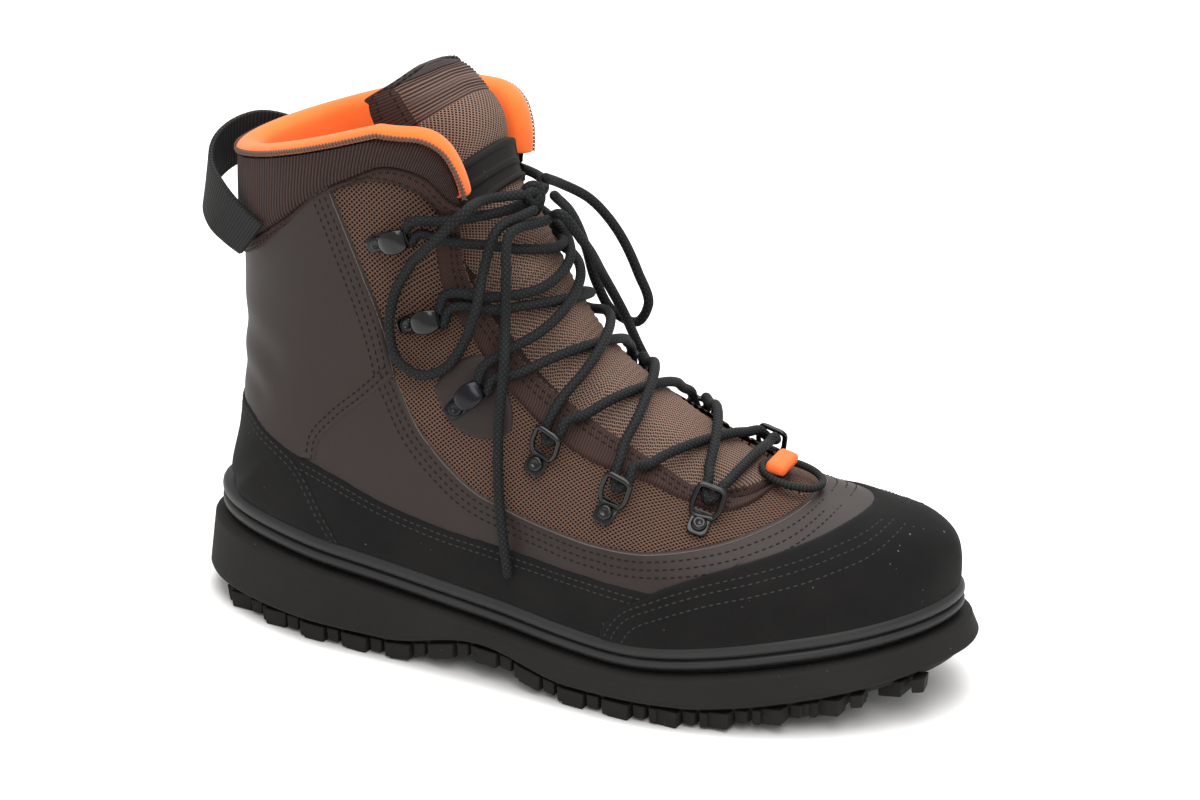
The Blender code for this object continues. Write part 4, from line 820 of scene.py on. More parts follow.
def add_node(
    tree: Tree,
    kind: str,
    values: dict | None = None,
    links: dict | None = None,
    **settings: object,
) -> bpy.types.Node:
    """Add a node with its settings, input values and links.

    Args:
        tree: the node tree that takes it.
        kind: the node's type.
        values: input name or number to value.
        links: input name or number to the socket that feeds it.
        settings: properties of the node.

    Returns:
        The node.
    """
    node = tree.nodes.new(kind)
    for name, value in settings.items():
        setattr(node, name, value)
    for key, value in (values or {}).items():
        if isinstance(value, Socket):
            tree.links.new(value, node.inputs[key])
        else:
            node.inputs[key].default_value = value
    for key, socket in (links or {}).items():
        tree.links.new(socket, node.inputs[key])
    return node


def wave(tree: Tree, value: Socket, turn: float) -> Socket:
    """A sine of a coordinate, from 0 to 1.

    Args:
        tree: the material's nodes.
        value: the coordinate in metres.
        turn: radians for each metre.

    Returns:
        The socket that holds the wave.
    """
    angle = add_node(tree, "ShaderNodeMath", {1: turn}, {0: value}, operation="MULTIPLY")
    sine = add_node(tree, "ShaderNodeMath", links={0: angle.outputs[0]}, operation="SINE")
    half = add_node(tree, "ShaderNodeMath", {1: 0.5, 2: 0.5}, {0: sine.outputs[0]}, operation="MULTIPLY_ADD")
    return half.outputs[0]


def linear(code: str) -> tuple[float, float, float, float]:
    """An sRGB hex colour as linear values.

    Args:
        code: the colour, such as #ffffff.

    Returns:
        Red, green, blue and alpha.
    """
    parts = [int(code[i:i + 2], 16) / 255 for i in (1, 3, 5)]
    low = [c / 12.92 if c <= 0.04045 else ((c + 0.055) / 1.055) ** 2.4 for c in parts]
    return (*low, 1.0)


# Nubuck is buffed leather: a dead matte nap with small pale scuffs.
NUBUCK = Finish("Nubuck", "nubuck", "#141313", "#222120", 0.95, Pattern.NAP, 0.5, 0.14, sheen=0.03,
                gloss=0.08, specks=0.5)
# Waxed full-grain leather: smooth, fine pores, a low shine.
LEATHER = Finish("Waxed full-grain leather", "leather", "#281f1c", "#302623", 0.55, Pattern.GRAIN, 0.9, 0.05,
                 gloss=0.26)
# A thin pale line along the leather's edge: painted highlight where light catches the edge.
EDGE_HIGHLIGHT = Finish("Pale edge painted highlight", "leather", "#574d48", "#6a5f59", 0.8, Pattern.SMOOTH, 0.6, 0.02, gloss=0.2)
# Coarse weave of brown yarn with small open holes: the near-black colour is painted shade in the holes and
# grooves, and the brown is partly the yarn's own and partly painted highlight.
MESH = Finish("Coarse woven polyester mesh", "mesh", "#080605", "#654c40", 0.88, Pattern.WEAVE, 1.05, 0.55,
              gloss=0.15)
# The tongue's finer weave, with the same painted shade in its holes and the same mix of yarn colour and
# painted highlight on its threads.
TONGUE_MESH = Finish("Fine woven polyester mesh", "mesh", "#17110f", "#846b5e", 0.85, Pattern.WEAVE, 0.80,
                     0.40, gloss=0.15)
# Grosgrain tape binds the collar, the throat and the tongue: matte, with fine cross ribs.
BINDING = Finish("Polyester grosgrain tape", "binding", "#231613", "#3a2621", 0.78, Pattern.TAPE, 1.2, 0.08,
                 gloss=0.25)
# The cuff is an elastic knit with upright ribs.
CUFF = Finish("Ribbed elastic knit", "cuff", "#150d0b", "#402a24", 0.85, Pattern.RIBS, 1.6, 0.45, sheen=0.04,
              gloss=0.2)
# Elastic tape with ribs across it, at the tongue's head.
ELASTIC = Finish("Ribbed elastic tape", "binding", "#33241f", "#6b554c", 0.72, Pattern.TAPE, 1.4, 0.30,
                 gloss=0.3)
# The lining is brushed cloth over foam: soft and bright, with no shine.
LINING = Finish("Brushed polyester lining", "lining", "#f46a26", "#ff8544", 0.85, Pattern.NAP, 0.6, 0.10,
                sheen=0.15, gloss=0.2)
# Carbon rubber straight from the mould, slightly dusty.
RUBBER = Finish("Moulded carbon rubber", "rubber", "#191817", "#272524", 0.82, Pattern.NAP, 0.8, 0.08,
                gloss=0.22, specks=0.3)
# The welt is smoother than the outsole.
WELT = Finish("Moulded polyurethane welt", "welt", "#1f1e1e", "#2a2929", 0.50, Pattern.NAP, 1.2, 0.03,
              gloss=0.32)
# Needled felt: a dull, hairy surface underfoot.
FELT = Finish("Needled felt footbed", "footbed", "#1c1c1c", "#2c2c2c", 0.95, Pattern.NAP, 0.7, 0.15,
              gloss=0.1)
# Woven nylon strap, with ribs across it that catch a little light.
WEBBING = Finish("Nylon webbing", "webbing", "#0f0f0f", "#222121", 0.72, Pattern.TAPE, 1.5, 0.22, gloss=0.25)
# Powder-coated steel is paint on metal, so it has no metallic value of its own.
BLACK_STEEL = Finish("Black powder-coated steel", "metal", "#050506", "#0b0c0d", 0.20, Pattern.SMOOTH, 3.0,
                     0.01, coat=0.1, gloss=0.35)
# Plated steel is bare metal.
GUNMETAL = Finish("Gunmetal-plated steel", "metal", "#2b2b2e", "#37373a", 0.28, Pattern.SMOOTH, 3.0, 0.01,
                  metallic=1.0)
# The lace: a tight round braid, near black, its raised strands lighter as painted highlight.
BRAIDED = Finish("Braided polyester lace", "lace", "#08090a", "#202325", 0.75, Pattern.BRAID, 1.1, 0.20,
                 gloss=0.25)
# Bonded sewing threads: each stitch is one smooth bead with a faint shine.
BLACK_THREAD = Finish("Dark brown polyester thread", "leather", "#120c0a", "#1c1412", 0.7, Pattern.SMOOTH,
                      1.0, 0.01, gloss=0.2)
BROWN_THREAD = Finish("Brown polyester thread", "binding", "#5d4a40", "#6e5a4e", 0.7, Pattern.SMOOTH, 1.0,
                      0.01, gloss=0.2)
# The thread on the nubuck is near black; its grey here is lightened as painted highlight so the stitches
# show.
GREY_THREAD = Finish("Near-black thread with painted highlight", "nubuck", "#2c2b2b", "#383737", 0.7, Pattern.SMOOTH, 1.0,
                     0.01, gloss=0.15)
# The bar on the lace ring is stitched nylon tape: bright, with a low shine.
ORANGE_BAR = Finish("Orange nylon tape", "lining", "#f2662a", "#ff8048", 0.65, Pattern.NAP, 0.6, 0.08,
                    gloss=0.3)


def mesh_of(name: str, points: Array, faces: Array, cloth: Array | None = None) -> Mesh:
    """A smooth-shaded mesh in the row frame.

    Args:
        name: the mesh's name.
        points: one row for each vertex, in the last's frame.
        faces: rows of vertex numbers, with repeats where a quad is a triangle.
        cloth: one (u, v) in metres for each vertex of each face, or None.

    Returns:
        The mesh.
    """
    mesh = bpy.data.meshes.new(name)
    rows = [list(dict.fromkeys(row)) for row in faces.tolist()]
    keep = [k for k, row in enumerate(rows) if len(row) > 2]
    mesh.from_pydata((np.asarray(points) + ORIGIN).tolist(), [], [rows[k] for k in keep])
    if cloth is not None:
        layer = mesh.uv_layers.new(name="cloth")
        flat = []
        for k in keep:
            seen = set()
            for corner, vert in enumerate(faces[k]):
                if vert not in seen:
                    seen.add(vert)
                    flat.append(cloth[k, corner])
        layer.data.foreach_set("uv", np.array(flat, float).ravel())
    mesh.polygons.foreach_set("use_smooth", [True] * len(mesh.polygons))
    mesh.update()
    return mesh


def grid_faces(rows: int, columns: int, closed: bool = False) -> Array:
    """Quads of a grid of points.

    Args:
        rows: how many rows it has.
        columns: how many columns it has.
        closed: whether the last column joins the first.

    Returns:
        Rows of four point numbers.
    """
    i, j = np.meshgrid(np.arange(rows - 1), np.arange(columns if closed else columns - 1), indexing="ij")
    k = (j + 1) % columns
    quads = np.stack([i * columns + j, i * columns + k, (i + 1) * columns + k, (i + 1) * columns + j], -1)
    return quads.reshape(-1, 4)


def grid_cloth(points: Array, closed: bool = False) -> Array:
    """The (u, v) in metres of each corner of grid_faces' quads, from lengths along the grid.

    Args:
        points: rows by columns by 3.
        closed: whether the columns run round.

    Returns:
        An array of quads by 4 by 2.
    """
    ring = np.concatenate([points, points[:, :1]], 1) if closed else points
    down = np.zeros(ring.shape[:2])
    down[1:] = np.cumsum(np.linalg.norm(np.diff(ring, axis=0), axis=-1), 0)
    wide = np.zeros(ring.shape[:2])
    wide[:, 1:] = np.cumsum(np.linalg.norm(np.diff(ring, axis=1), axis=-1), 1)
    wide -= 0.5 * wide[:, -1:]
    down = np.broadcast_to(down.mean(1, keepdims=True), down.shape)
    uv = np.stack([wide, down], -1)
    corners = [uv[:-1, :-1], uv[:-1, 1:], uv[1:, 1:], uv[1:, :-1]]
    return np.stack(corners, 2).reshape(-1, 4, 2)


def piece(
    name: str,
    mesh: Mesh,
    finish: Finish,
    stands_for: tuple[str, ...] = (),
) -> Object:
    """Add a piece of the boot, dressed and riding on its body.

    Args:
        name: the piece's name.
        mesh: its mesh, already in the row frame.
        finish: its finish.
        stands_for: the CAD nodes that it replaces.

    Returns:
        The object.
    """
    obj = bpy.data.objects.new(name, mesh)
    bpy.context.scene.collection.objects.link(obj)
    if not mesh.materials:
        mesh.materials.append(finish.material())
    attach(obj, "root")
    if stands_for:
        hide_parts(*stands_for)
    log.info("%s: %d faces", name, len(mesh.polygons))
    return obj


def plain(obj: Object) -> Object:
    """Turn an object's modifiers into its own mesh.

    Args:
        obj: the object.

    Returns:
        The same object.
    """
    graph = bpy.context.evaluated_depsgraph_get()
    bpy.context.view_layer.update()
    mesh = bpy.data.meshes.new_from_object(obj.evaluated_get(graph))
    mesh.name = obj.name
    obj.modifiers.clear()
    obj.data = mesh
    return obj


def walled(obj: Object, thickness: float, offset: float) -> Object:
    """Give an open surface a wall and make the result its mesh.

    Args:
        obj: the object.
        thickness: the wall's thickness.
        offset: -1 for a wall behind the surface, 0 for one on both sides of it.

    Returns:
        The same object.
    """
    wall = obj.modifiers.new("wall", "SOLIDIFY")
    wall.thickness = thickness
    wall.offset = offset
    wall.use_quality_normals = True
    return plain(obj)


def tube_grid(points: Array, radius: float | Array, sides: int = 14) -> Array:
    """Rings of points round a path, with no twist.

    Args:
        points: the path.
        radius: one radius, or one for each point.
        sides: points of each ring.

    Returns:
        Rows by sides by 3.
    """
    tangent = unit(np.gradient(points, axis=0))
    normal = np.cross(tangent[0], (0.0, 0.0, 1.0) if abs(tangent[0][2]) < 0.9 else (1.0, 0.0, 0.0))
    rings = []
    angle = np.linspace(0, 2 * np.pi, sides, endpoint=False)
    radius = np.broadcast_to(radius, (len(points),))
    for k, along in enumerate(tangent):
        normal = unit(normal - along * (normal @ along))
        round_it = np.cos(angle)[:, None] * normal + np.sin(angle)[:, None] * np.cross(along, normal)
        rings.append(points[k] + radius[k] * round_it)
    return np.array(rings)


def capped(rings: Array, first: Array, last: Array) -> Pair:
    """Rings of points with their two ends filled by fans.

    Args:
        rings: rows by sides by 3.
        first: the middle point of the first end.
        last: the middle point of the last end.

    Returns:
        The points, and the faces with the fans last.
    """
    rows, sides = rings.shape[:2]
    count = rows * sides
    start = count - sides
    fans = [(count, (k + 1) % sides, k, k) for k in range(sides)]
    fans += [(count + 1, start + k, start + (k + 1) % sides, start + (k + 1) % sides) for k in range(sides)]
    verts = np.concatenate([rings.reshape(-1, 3), [first], [last]])
    return verts, np.concatenate([grid_faces(rows, sides, closed=True), np.array(fans)])


def lace_mesh(name: str, points: Array, radius: float, sides: int = 14) -> Mesh:
    """A round cord's mesh with closed, rounded ends and its cloth coordinates.

    Args:
        name: the mesh's name.
        points: the cord's path.
        radius: its radius.
        sides: points round it.

    Returns:
        The mesh.
    """
    reach, narrow = (0.4, 0.75, 0.98), (0.92, 0.66, 0.12)
    first, last = unit(points[0] - points[1]) * radius, unit(points[-1] - points[-2]) * radius
    path = np.concatenate([[points[0] + first * s for s in reach[::-1]], points,
                           [points[-1] + last * s for s in reach]])
    radii = np.concatenate([narrow[::-1], np.ones(len(points)), narrow]) * radius
    rings = tube_grid(path, radii, sides)
    verts, faces = capped(rings, path[0], path[-1])
    cloth = np.concatenate([grid_cloth(rings, closed=True), np.zeros((2 * sides, 4, 2))])
    return mesh_of(name, verts, faces, cloth)


def through(points: Array, step: float) -> Array:
    """A smooth path through points, sampled evenly.

    Args:
        points: the route.
        step: distance between samples in metres.

    Returns:
        The samples.
    """
    points = np.asarray(points, float)
    run = lengths(points)
    fine = np.linspace(0, run[-1], 40 * len(points))
    path = np.stack([smooth(run, points[:, k], fine) for k in range(3)], -1)
    length = lengths(path)
    at = np.linspace(0, length[-1], max(int(length[-1] / step), 4))
    return np.stack([np.interp(at, length, path[:, k]) for k in range(3)], -1)


@dataclass
class Threads:
    """Rows of sewing stitches that Geometry Nodes set along given points."""

    length: float = 0.0021
    width: float = 0.00075
    height: float = 0.0006
    pitch: float = 0.0030
    rows: dict = field(default_factory=dict)

    def add(self, group: str, points: Array, normals: Array, slant: float = 0.0) -> None:
        """Store a row of stitches.

        Args:
            group: the piece that the row belongs to.
            points: a path on the surface.
            normals: the surface's normals along it.
            slant: how far each stitch is turned out of the row, in radians.
        """
        run = lengths(points)
        at = np.arange(0.5 * self.pitch, run[-1], self.pitch)
        if len(at) < 2:
            return
        place = np.stack([np.interp(at, run, points[:, k]) for k in range(3)], -1)
        normal = unit(np.stack([np.interp(at, run, normals[:, k]) for k in range(3)], -1))
        along = unit(np.gradient(place, axis=0))
        side = np.cross(normal, along)
        along = along * math.cos(slant) + side * math.sin(slant)
        self.rows.setdefault(group, []).append((place + ORIGIN, along, normal))

    def tree(self) -> Tree:
        """The node tree that turns points into stitches, with its sizes as inputs.

        Returns:
            The node tree.
        """
        tree = bpy.data.node_groups.new("Stitches", "GeometryNodeTree")
        face = tree.interface
        face.new_socket("Geometry", in_out="INPUT", socket_type="NodeSocketGeometry")
        for name in ("Length", "Width", "Height"):
            face.new_socket(name, in_out="INPUT", socket_type="NodeSocketFloat")
        face.new_socket("Thread", in_out="INPUT", socket_type="NodeSocketMaterial")
        face.new_socket("Geometry", in_out="OUTPUT", socket_type="NodeSocketGeometry")
        given = add_node(tree, "NodeGroupInput")
        bead = add_node(tree, "GeometryNodeMeshUVSphere", {"Segments": 6, "Rings": 4, "Radius": 0.5})
        size = add_node(tree, "ShaderNodeCombineXYZ", links={
            "X": given.outputs["Length"], "Y": given.outputs["Width"], "Z": given.outputs["Height"]})
        along = add_node(tree, "GeometryNodeInputNamedAttribute", {"Name": "along"}, data_type="FLOAT_VECTOR")
        up = add_node(tree, "GeometryNodeInputNamedAttribute", {"Name": "normal"}, data_type="FLOAT_VECTOR")
        turn = add_node(tree, "FunctionNodeAlignRotationToVector",
                        links={"Vector": along.outputs["Attribute"]}, axis="X")
        stand = add_node(tree, "FunctionNodeAlignRotationToVector",
                         links={"Rotation": turn.outputs[0], "Vector": up.outputs["Attribute"]},
                         axis="Z", pivot_axis="X")
        dots = add_node(tree, "GeometryNodeMeshToPoints", links={"Mesh": given.outputs["Geometry"]})
        lay = add_node(tree, "GeometryNodeInstanceOnPoints", links={
            "Points": dots.outputs["Points"], "Instance": bead.outputs["Mesh"],
            "Rotation": stand.outputs[0], "Scale": size.outputs["Vector"]})
        real = add_node(tree, "GeometryNodeRealizeInstances", links={"Geometry": lay.outputs["Instances"]})
        done = add_node(tree, "GeometryNodeSetMaterial", links={
            "Geometry": real.outputs["Geometry"], "Material": given.outputs["Thread"]})
        add_node(tree, "NodeGroupOutput", links={"Geometry": done.outputs["Geometry"]})
        return tree

    def build(self, finishes: dict[str, Finish]) -> None:
        """Make one piece of stitches for each group.

        Args:
            finishes: group name to the thread's finish.
        """
        tree = self.tree()
        keys = {item.name: item.identifier for item in tree.interface.items_tree if item.in_out == "INPUT"}
        for group, rows in self.rows.items():
            places, alongs, normals = (np.concatenate([row[k] for row in rows]) for k in range(3))
            mesh = bpy.data.meshes.new(group)
            mesh.from_pydata(places.tolist(), [], [])
            for name, values in (("along", alongs), ("normal", normals)):
                given = mesh.attributes.new(name, "FLOAT_VECTOR", "POINT")
                given.data.foreach_set("vector", values.ravel())
            obj = bpy.data.objects.new(group, mesh)
            bpy.context.scene.collection.objects.link(obj)
            nodes = obj.modifiers.new("stitches", "NODES")
            nodes.node_group = tree
            for name, value in (("Length", self.length), ("Width", self.width), ("Height", self.height),
                                ("Thread", finishes[group].material())):
                nodes[keys[name]] = value
            plain(obj)
            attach(obj, "root")
            log.info("%s: %d stitches", group, len(places))


def fine_line(outline: tuple | list, step: float = 0.0025) -> list:
    """A side-view line in metres made smooth and sampled evenly."""
    line = np.array([(*p, 0.0) for p in outline])
    return [tuple(p[:2]) for p in through(line, step)]


def inside_by(points: Array, outline: list) -> Array:
    """Signed distance of side-view points from an outline, positive inside.

    Args:
        points: rows of (x, z) in metres.
        outline: the closed outline's corners.

    Returns:
        One distance for each point.
    """
    ring = np.array(outline, float)
    ends = np.roll(ring, -1, axis=0)
    low, high = ring.min(0) - NEAR, ring.max(0) + NEAR
    result = np.full(len(points), -FAR)
    near = np.nonzero(((points > low) & (points < high)).all(1))[0]
    span = ends - ring
    length = np.maximum((span ** 2).sum(1), TINY ** 2)
    for part in np.array_split(near, max(len(near) // BATCH, 1)):
        p = points[part][:, None, :]
        t = np.clip(((p - ring) * span).sum(-1) / length, 0, 1)
        gap = np.sqrt((((p - ring) - t[..., None] * span) ** 2).sum(-1).min(1))
        above = (ring[:, 1] > p[..., 1]) != (ends[:, 1] > p[..., 1])
        rise = np.where(np.abs(span[:, 1]) < TINY, TINY, span[:, 1])
        cross = ring[:, 0] + (p[..., 1] - ring[:, 1]) * span[:, 0] / rise
        odd = (above & (p[..., 0] < cross)).sum(1) % 2
        result[part] = np.where(odd == 1, gap, -gap)
    return result


@dataclass
class Shell:
    """The last's outer face as one fine surface, which every overlay of the upper is cut from."""

    row_step: float = 0.00125
    columns: int = 116
    # How far a fold is bowed, and the low rims beside it.
    bow: float = 0.06
    rim_share: float = 0.5
    rim_offset: float = 1.8
    # An overlay's edge: share of the thickness it has there, and how steeply and far it sinks beyond.
    edge_share: float = 0.25
    sinking: float = 1.6
    lowest: float = -0.0010
    points: Array = field(init=False)
    normals: Array = field(init=False)
    faces: Array = field(init=False)
    cloth: Array = field(init=False)
    side: Array = field(init=False)
    from_edge: Array = field(init=False)
    place: Array = field(init=False)
    rows: int = field(init=False)

    def __post_init__(self) -> None:
        """Work out both sides' points, faces, cloth coordinates and normals."""
        places = self.even_places()
        rows, columns = len(places), self.columns
        sides, runs, edges = [], [], []
        for side in (LATERAL, MEDIAL):
            grid = np.zeros((rows, columns, 3))
            run = np.zeros((rows, columns))
            for r, place in enumerate(places):
                edge = float(share_at(place, side, throat_half(place, side)))
                rough = edge * np.linspace(0, 1, 161)
                line = last_point(place, rough, side)
                length = lengths(line)
                run[r] = np.linspace(0, length[-1], columns)
                grid[r] = last_point(place, np.interp(run[r], length, rough), side)
            sides.append(grid)
            runs.append(run)
            edges.append(run[:, -1:] - run)
        sides[0][0] = sides[1][0] = 0.5 * (sides[0][0] + sides[1][0])
        count = rows * columns
        lateral, medial = (grid.reshape(-1, 3) for grid in sides)
        same = np.linalg.norm(lateral - medial, axis=1) < WELD
        other = np.where(same, np.arange(count), np.arange(count) + count)
        quads = grid_faces(rows, columns)
        self.faces = np.concatenate([quads, other[quads[:, ::-1]]])
        self.points = np.concatenate([lateral, medial])
        self.side = np.repeat([LATERAL, MEDIAL], len(quads))
        cloth = []
        for grid, run, sign in zip(sides, runs, (-1, 1)):
            down = np.zeros(run.shape)
            down[1:] = np.cumsum(np.linalg.norm(np.diff(grid, axis=0), axis=-1), 0)
            uv = np.stack([sign * run, down], -1).reshape(-1, 2)
            cloth.append(uv[quads if sign < 0 else quads[:, ::-1]])
        self.cloth = np.concatenate(cloth)
        self.from_edge = np.concatenate([e.ravel() for e in edges])
        self.place = np.tile(np.repeat(places, columns), 2)
        self.rows = rows
        self.points = self.points - self.vertex_normals(self.points) * self.folds()[:, None]
        self.normals = self.vertex_normals(self.points)

    def folds(self) -> Array:
        """How far each point is pressed in by the creases.

        Returns:
            One depth for each point.
        """
        flat = self.points[:, [0, 2]]
        deep = np.zeros(len(flat))
        for row in CREASES:
            start = np.array((SOLE_LENGTH * row.x0, COLLAR_HEIGHT * row.z0))
            span = np.array((SOLE_LENGTH * row.x1, COLLAR_HEIGHT * row.z1)) - start
            share = (flat - start) @ span / (span @ span)
            bend = self.bow * np.linalg.norm(span) * np.sin(np.pi * share)
            off = (flat - start) @ np.array((-span[1], span[0])) / np.linalg.norm(span) - bend
            ends = ease((0.5 - np.abs(share - 0.5)) / 0.3 + 0.4)
            rims = np.exp(-((np.abs(off) - self.rim_offset * row.width) / row.width) ** 2)
            groove = np.exp(-(off / row.width) ** 2) - self.rim_share * rims
            deep += row.depth * ends * groove
        return deep

    def along_throat(self, side: int, distance: float, lift: float) -> Pair:
        """A line at a distance from the throat's edge, and its normals.

        Args:
            side: LATERAL or MEDIAL.
            distance: how far from the edge in metres.
            lift: how far the line stands off the surface.

        Returns:
            Points in the last's frame and normals.
        """
        count = self.rows * self.columns
        base = 0 if side == LATERAL else count
        gap = self.from_edge[base:base + count].reshape(self.rows, self.columns)
        place = self.place[base:base + count].reshape(self.rows, self.columns)[:, 0]
        rows = np.nonzero((place > EYESTAY[0].place + 0.1) & (place < EYESTAY[-1].place + 0.7))[0]
        points, normals = [], []
        for r in rows:
            pick = base + r * self.columns + np.arange(self.columns)
            at = float(np.interp(-distance, -gap[r], np.arange(self.columns)))
            low, share = int(at), at - int(at)
            high = min(low + 1, self.columns - 1)
            normal, point = (values[pick[low]] * (1 - share) + values[pick[high]] * share
                             for values in (self.normals, self.points))
            points.append(point + normal * lift)
            normals.append(normal)
        return np.array(points), np.array(normals)

    def even_places(self) -> Array:
        """Places of rows that lie about row_step apart on the surface.

        Returns:
            The places.
        """
        at = np.linspace(0, COLLAR_PLACE, 2500)
        steps = [np.linalg.norm(np.diff(last_point(at, share + 0 * at, LATERAL), axis=0), axis=1)
                 for share in (0.02, 0.5, 0.999)]
        run = np.concatenate([[0], np.cumsum(np.max(steps, axis=0))])
        return np.interp(np.linspace(0, run[-1], int(run[-1] / self.row_step)), run, at)

    def vertex_normals(self, points: Array) -> Array:
        """Outward normals of the surface's points.

        Args:
            points: the points, in the order of the surface's own.

        Returns:
            One normal for each point.
        """
        a, b, c, d = (points[self.faces[:, k]] for k in range(4))
        flat = np.cross(c - a, d - b)
        total = np.zeros_like(points)
        for k in range(4):
            np.add.at(total, self.faces[:, k], flat)
        length = np.linalg.norm(total, axis=1, keepdims=True)
        return total / np.maximum(length, 1e-12)

    def outline_field(self, outline: list) -> Array:
        """How far each point lies inside a side-view outline."""
        return inside_by(self.points[:, [0, 2]], outline)

    def panel(
        self,
        name: str,
        inside: Array,
        thickness: float,
        side: int | None = None,
        rounding: float = 0.0016,
        lift: float = 0.0,
    ) -> Mesh:
        """An overlay: the part of the surface inside a field, raised with a rolled edge.

        Args:
            name: the mesh's name.
            inside: distance of each point inside the overlay's edge.
            thickness: how far the overlay stands out.
            side: LATERAL or MEDIAL where the overlay is on one side alone.
            rounding: how far in from its edge the overlay has its full thickness.
            lift: how far what it covers already stands out.

        Returns:
            The mesh.
        """
        keep = (inside[self.faces] > -PANEL_EDGE).any(1)
        if side is not None:
            keep &= self.side == side
        edge = self.edge_share * thickness
        raised = edge + (1 - self.edge_share) * thickness * rolled(inside, rounding)
        out = np.where(inside > 0, raised, edge + self.sinking * inside)
        out = np.maximum(out, self.lowest) + lift * ramp(1 + inside / PANEL_EDGE)
        moved = self.points + self.normals * out[:, None]
        faces = self.faces[keep]
        used, index = np.unique(faces, return_inverse=True)
        return mesh_of(name, moved[used], index.reshape(faces.shape), self.cloth[keep])

    def base(self) -> Mesh:
        """The whole surface at half its fineness.

        Returns:
            The mesh.
        """
        rows = np.arange(0, self.rows, 2)
        rows = rows if rows[-1] == self.rows - 1 else np.append(rows, self.rows - 1)
        columns = np.append(np.arange(0, self.columns - 1, 2), self.columns - 1)
        grid = (rows[:, None] * self.columns + columns[None, :]).ravel()
        quads = grid_faces(len(rows), len(columns))
        count = self.rows * self.columns
        lateral = grid[quads]
        medial = grid[quads[:, ::-1]]
        same = np.linalg.norm(self.points[:count] - self.points[count:], axis=1) < WELD
        other = np.where(same, np.arange(count), np.arange(count) + count)
        faces = np.concatenate([lateral, other[medial]])
        flat = np.stack([self.points[:, 0], self.points[:, 2] - np.abs(self.points[:, 1])], -1)
        cloth = np.concatenate([flat[lateral], flat[medial + count]])
        used, index = np.unique(faces, return_inverse=True)
        return mesh_of("upper_mesh", self.points[used], index.reshape(faces.shape), cloth)


def surface_of(*objects: Object) -> BVHTree:
    """A search tree over the pieces' faces, in the row frame.

    Args:
        objects: the pieces.

    Returns:
        The tree.
    """
    verts, faces = [], []
    for obj in objects:
        base = len(verts)
        verts += [v.co.copy() for v in obj.data.vertices]
        faces += [[base + k for k in p.vertices] for p in obj.data.polygons]
    return BVHTree.FromPolygons(verts, faces)


def cast_side(tree: BVHTree, line: list, side: int) -> Pair:
    """Set a side-view line on a surface, as seen from one side.

    Args:
        tree: the surface.
        line: (x, z) points in metres, in the last's frame.
        side: LATERAL or MEDIAL.

    Returns:
        Points in the last's frame and their normals.
    """
    places, normals = [], []
    for x, z in line:
        start = Vector((x + ORIGIN[0], side * 0.3, z))
        hit, normal, _, _ = tree.ray_cast(start, Vector((0, -side, 0)))
        if hit is not None and hit.y * side > -0.02:
            places.append(np.array(hit) - ORIGIN)
            normals.append(np.array(normal))
    if len(places) < 3:
        return np.zeros((0, 3)), np.zeros((0, 3))
    return np.array(places), np.array(normals)


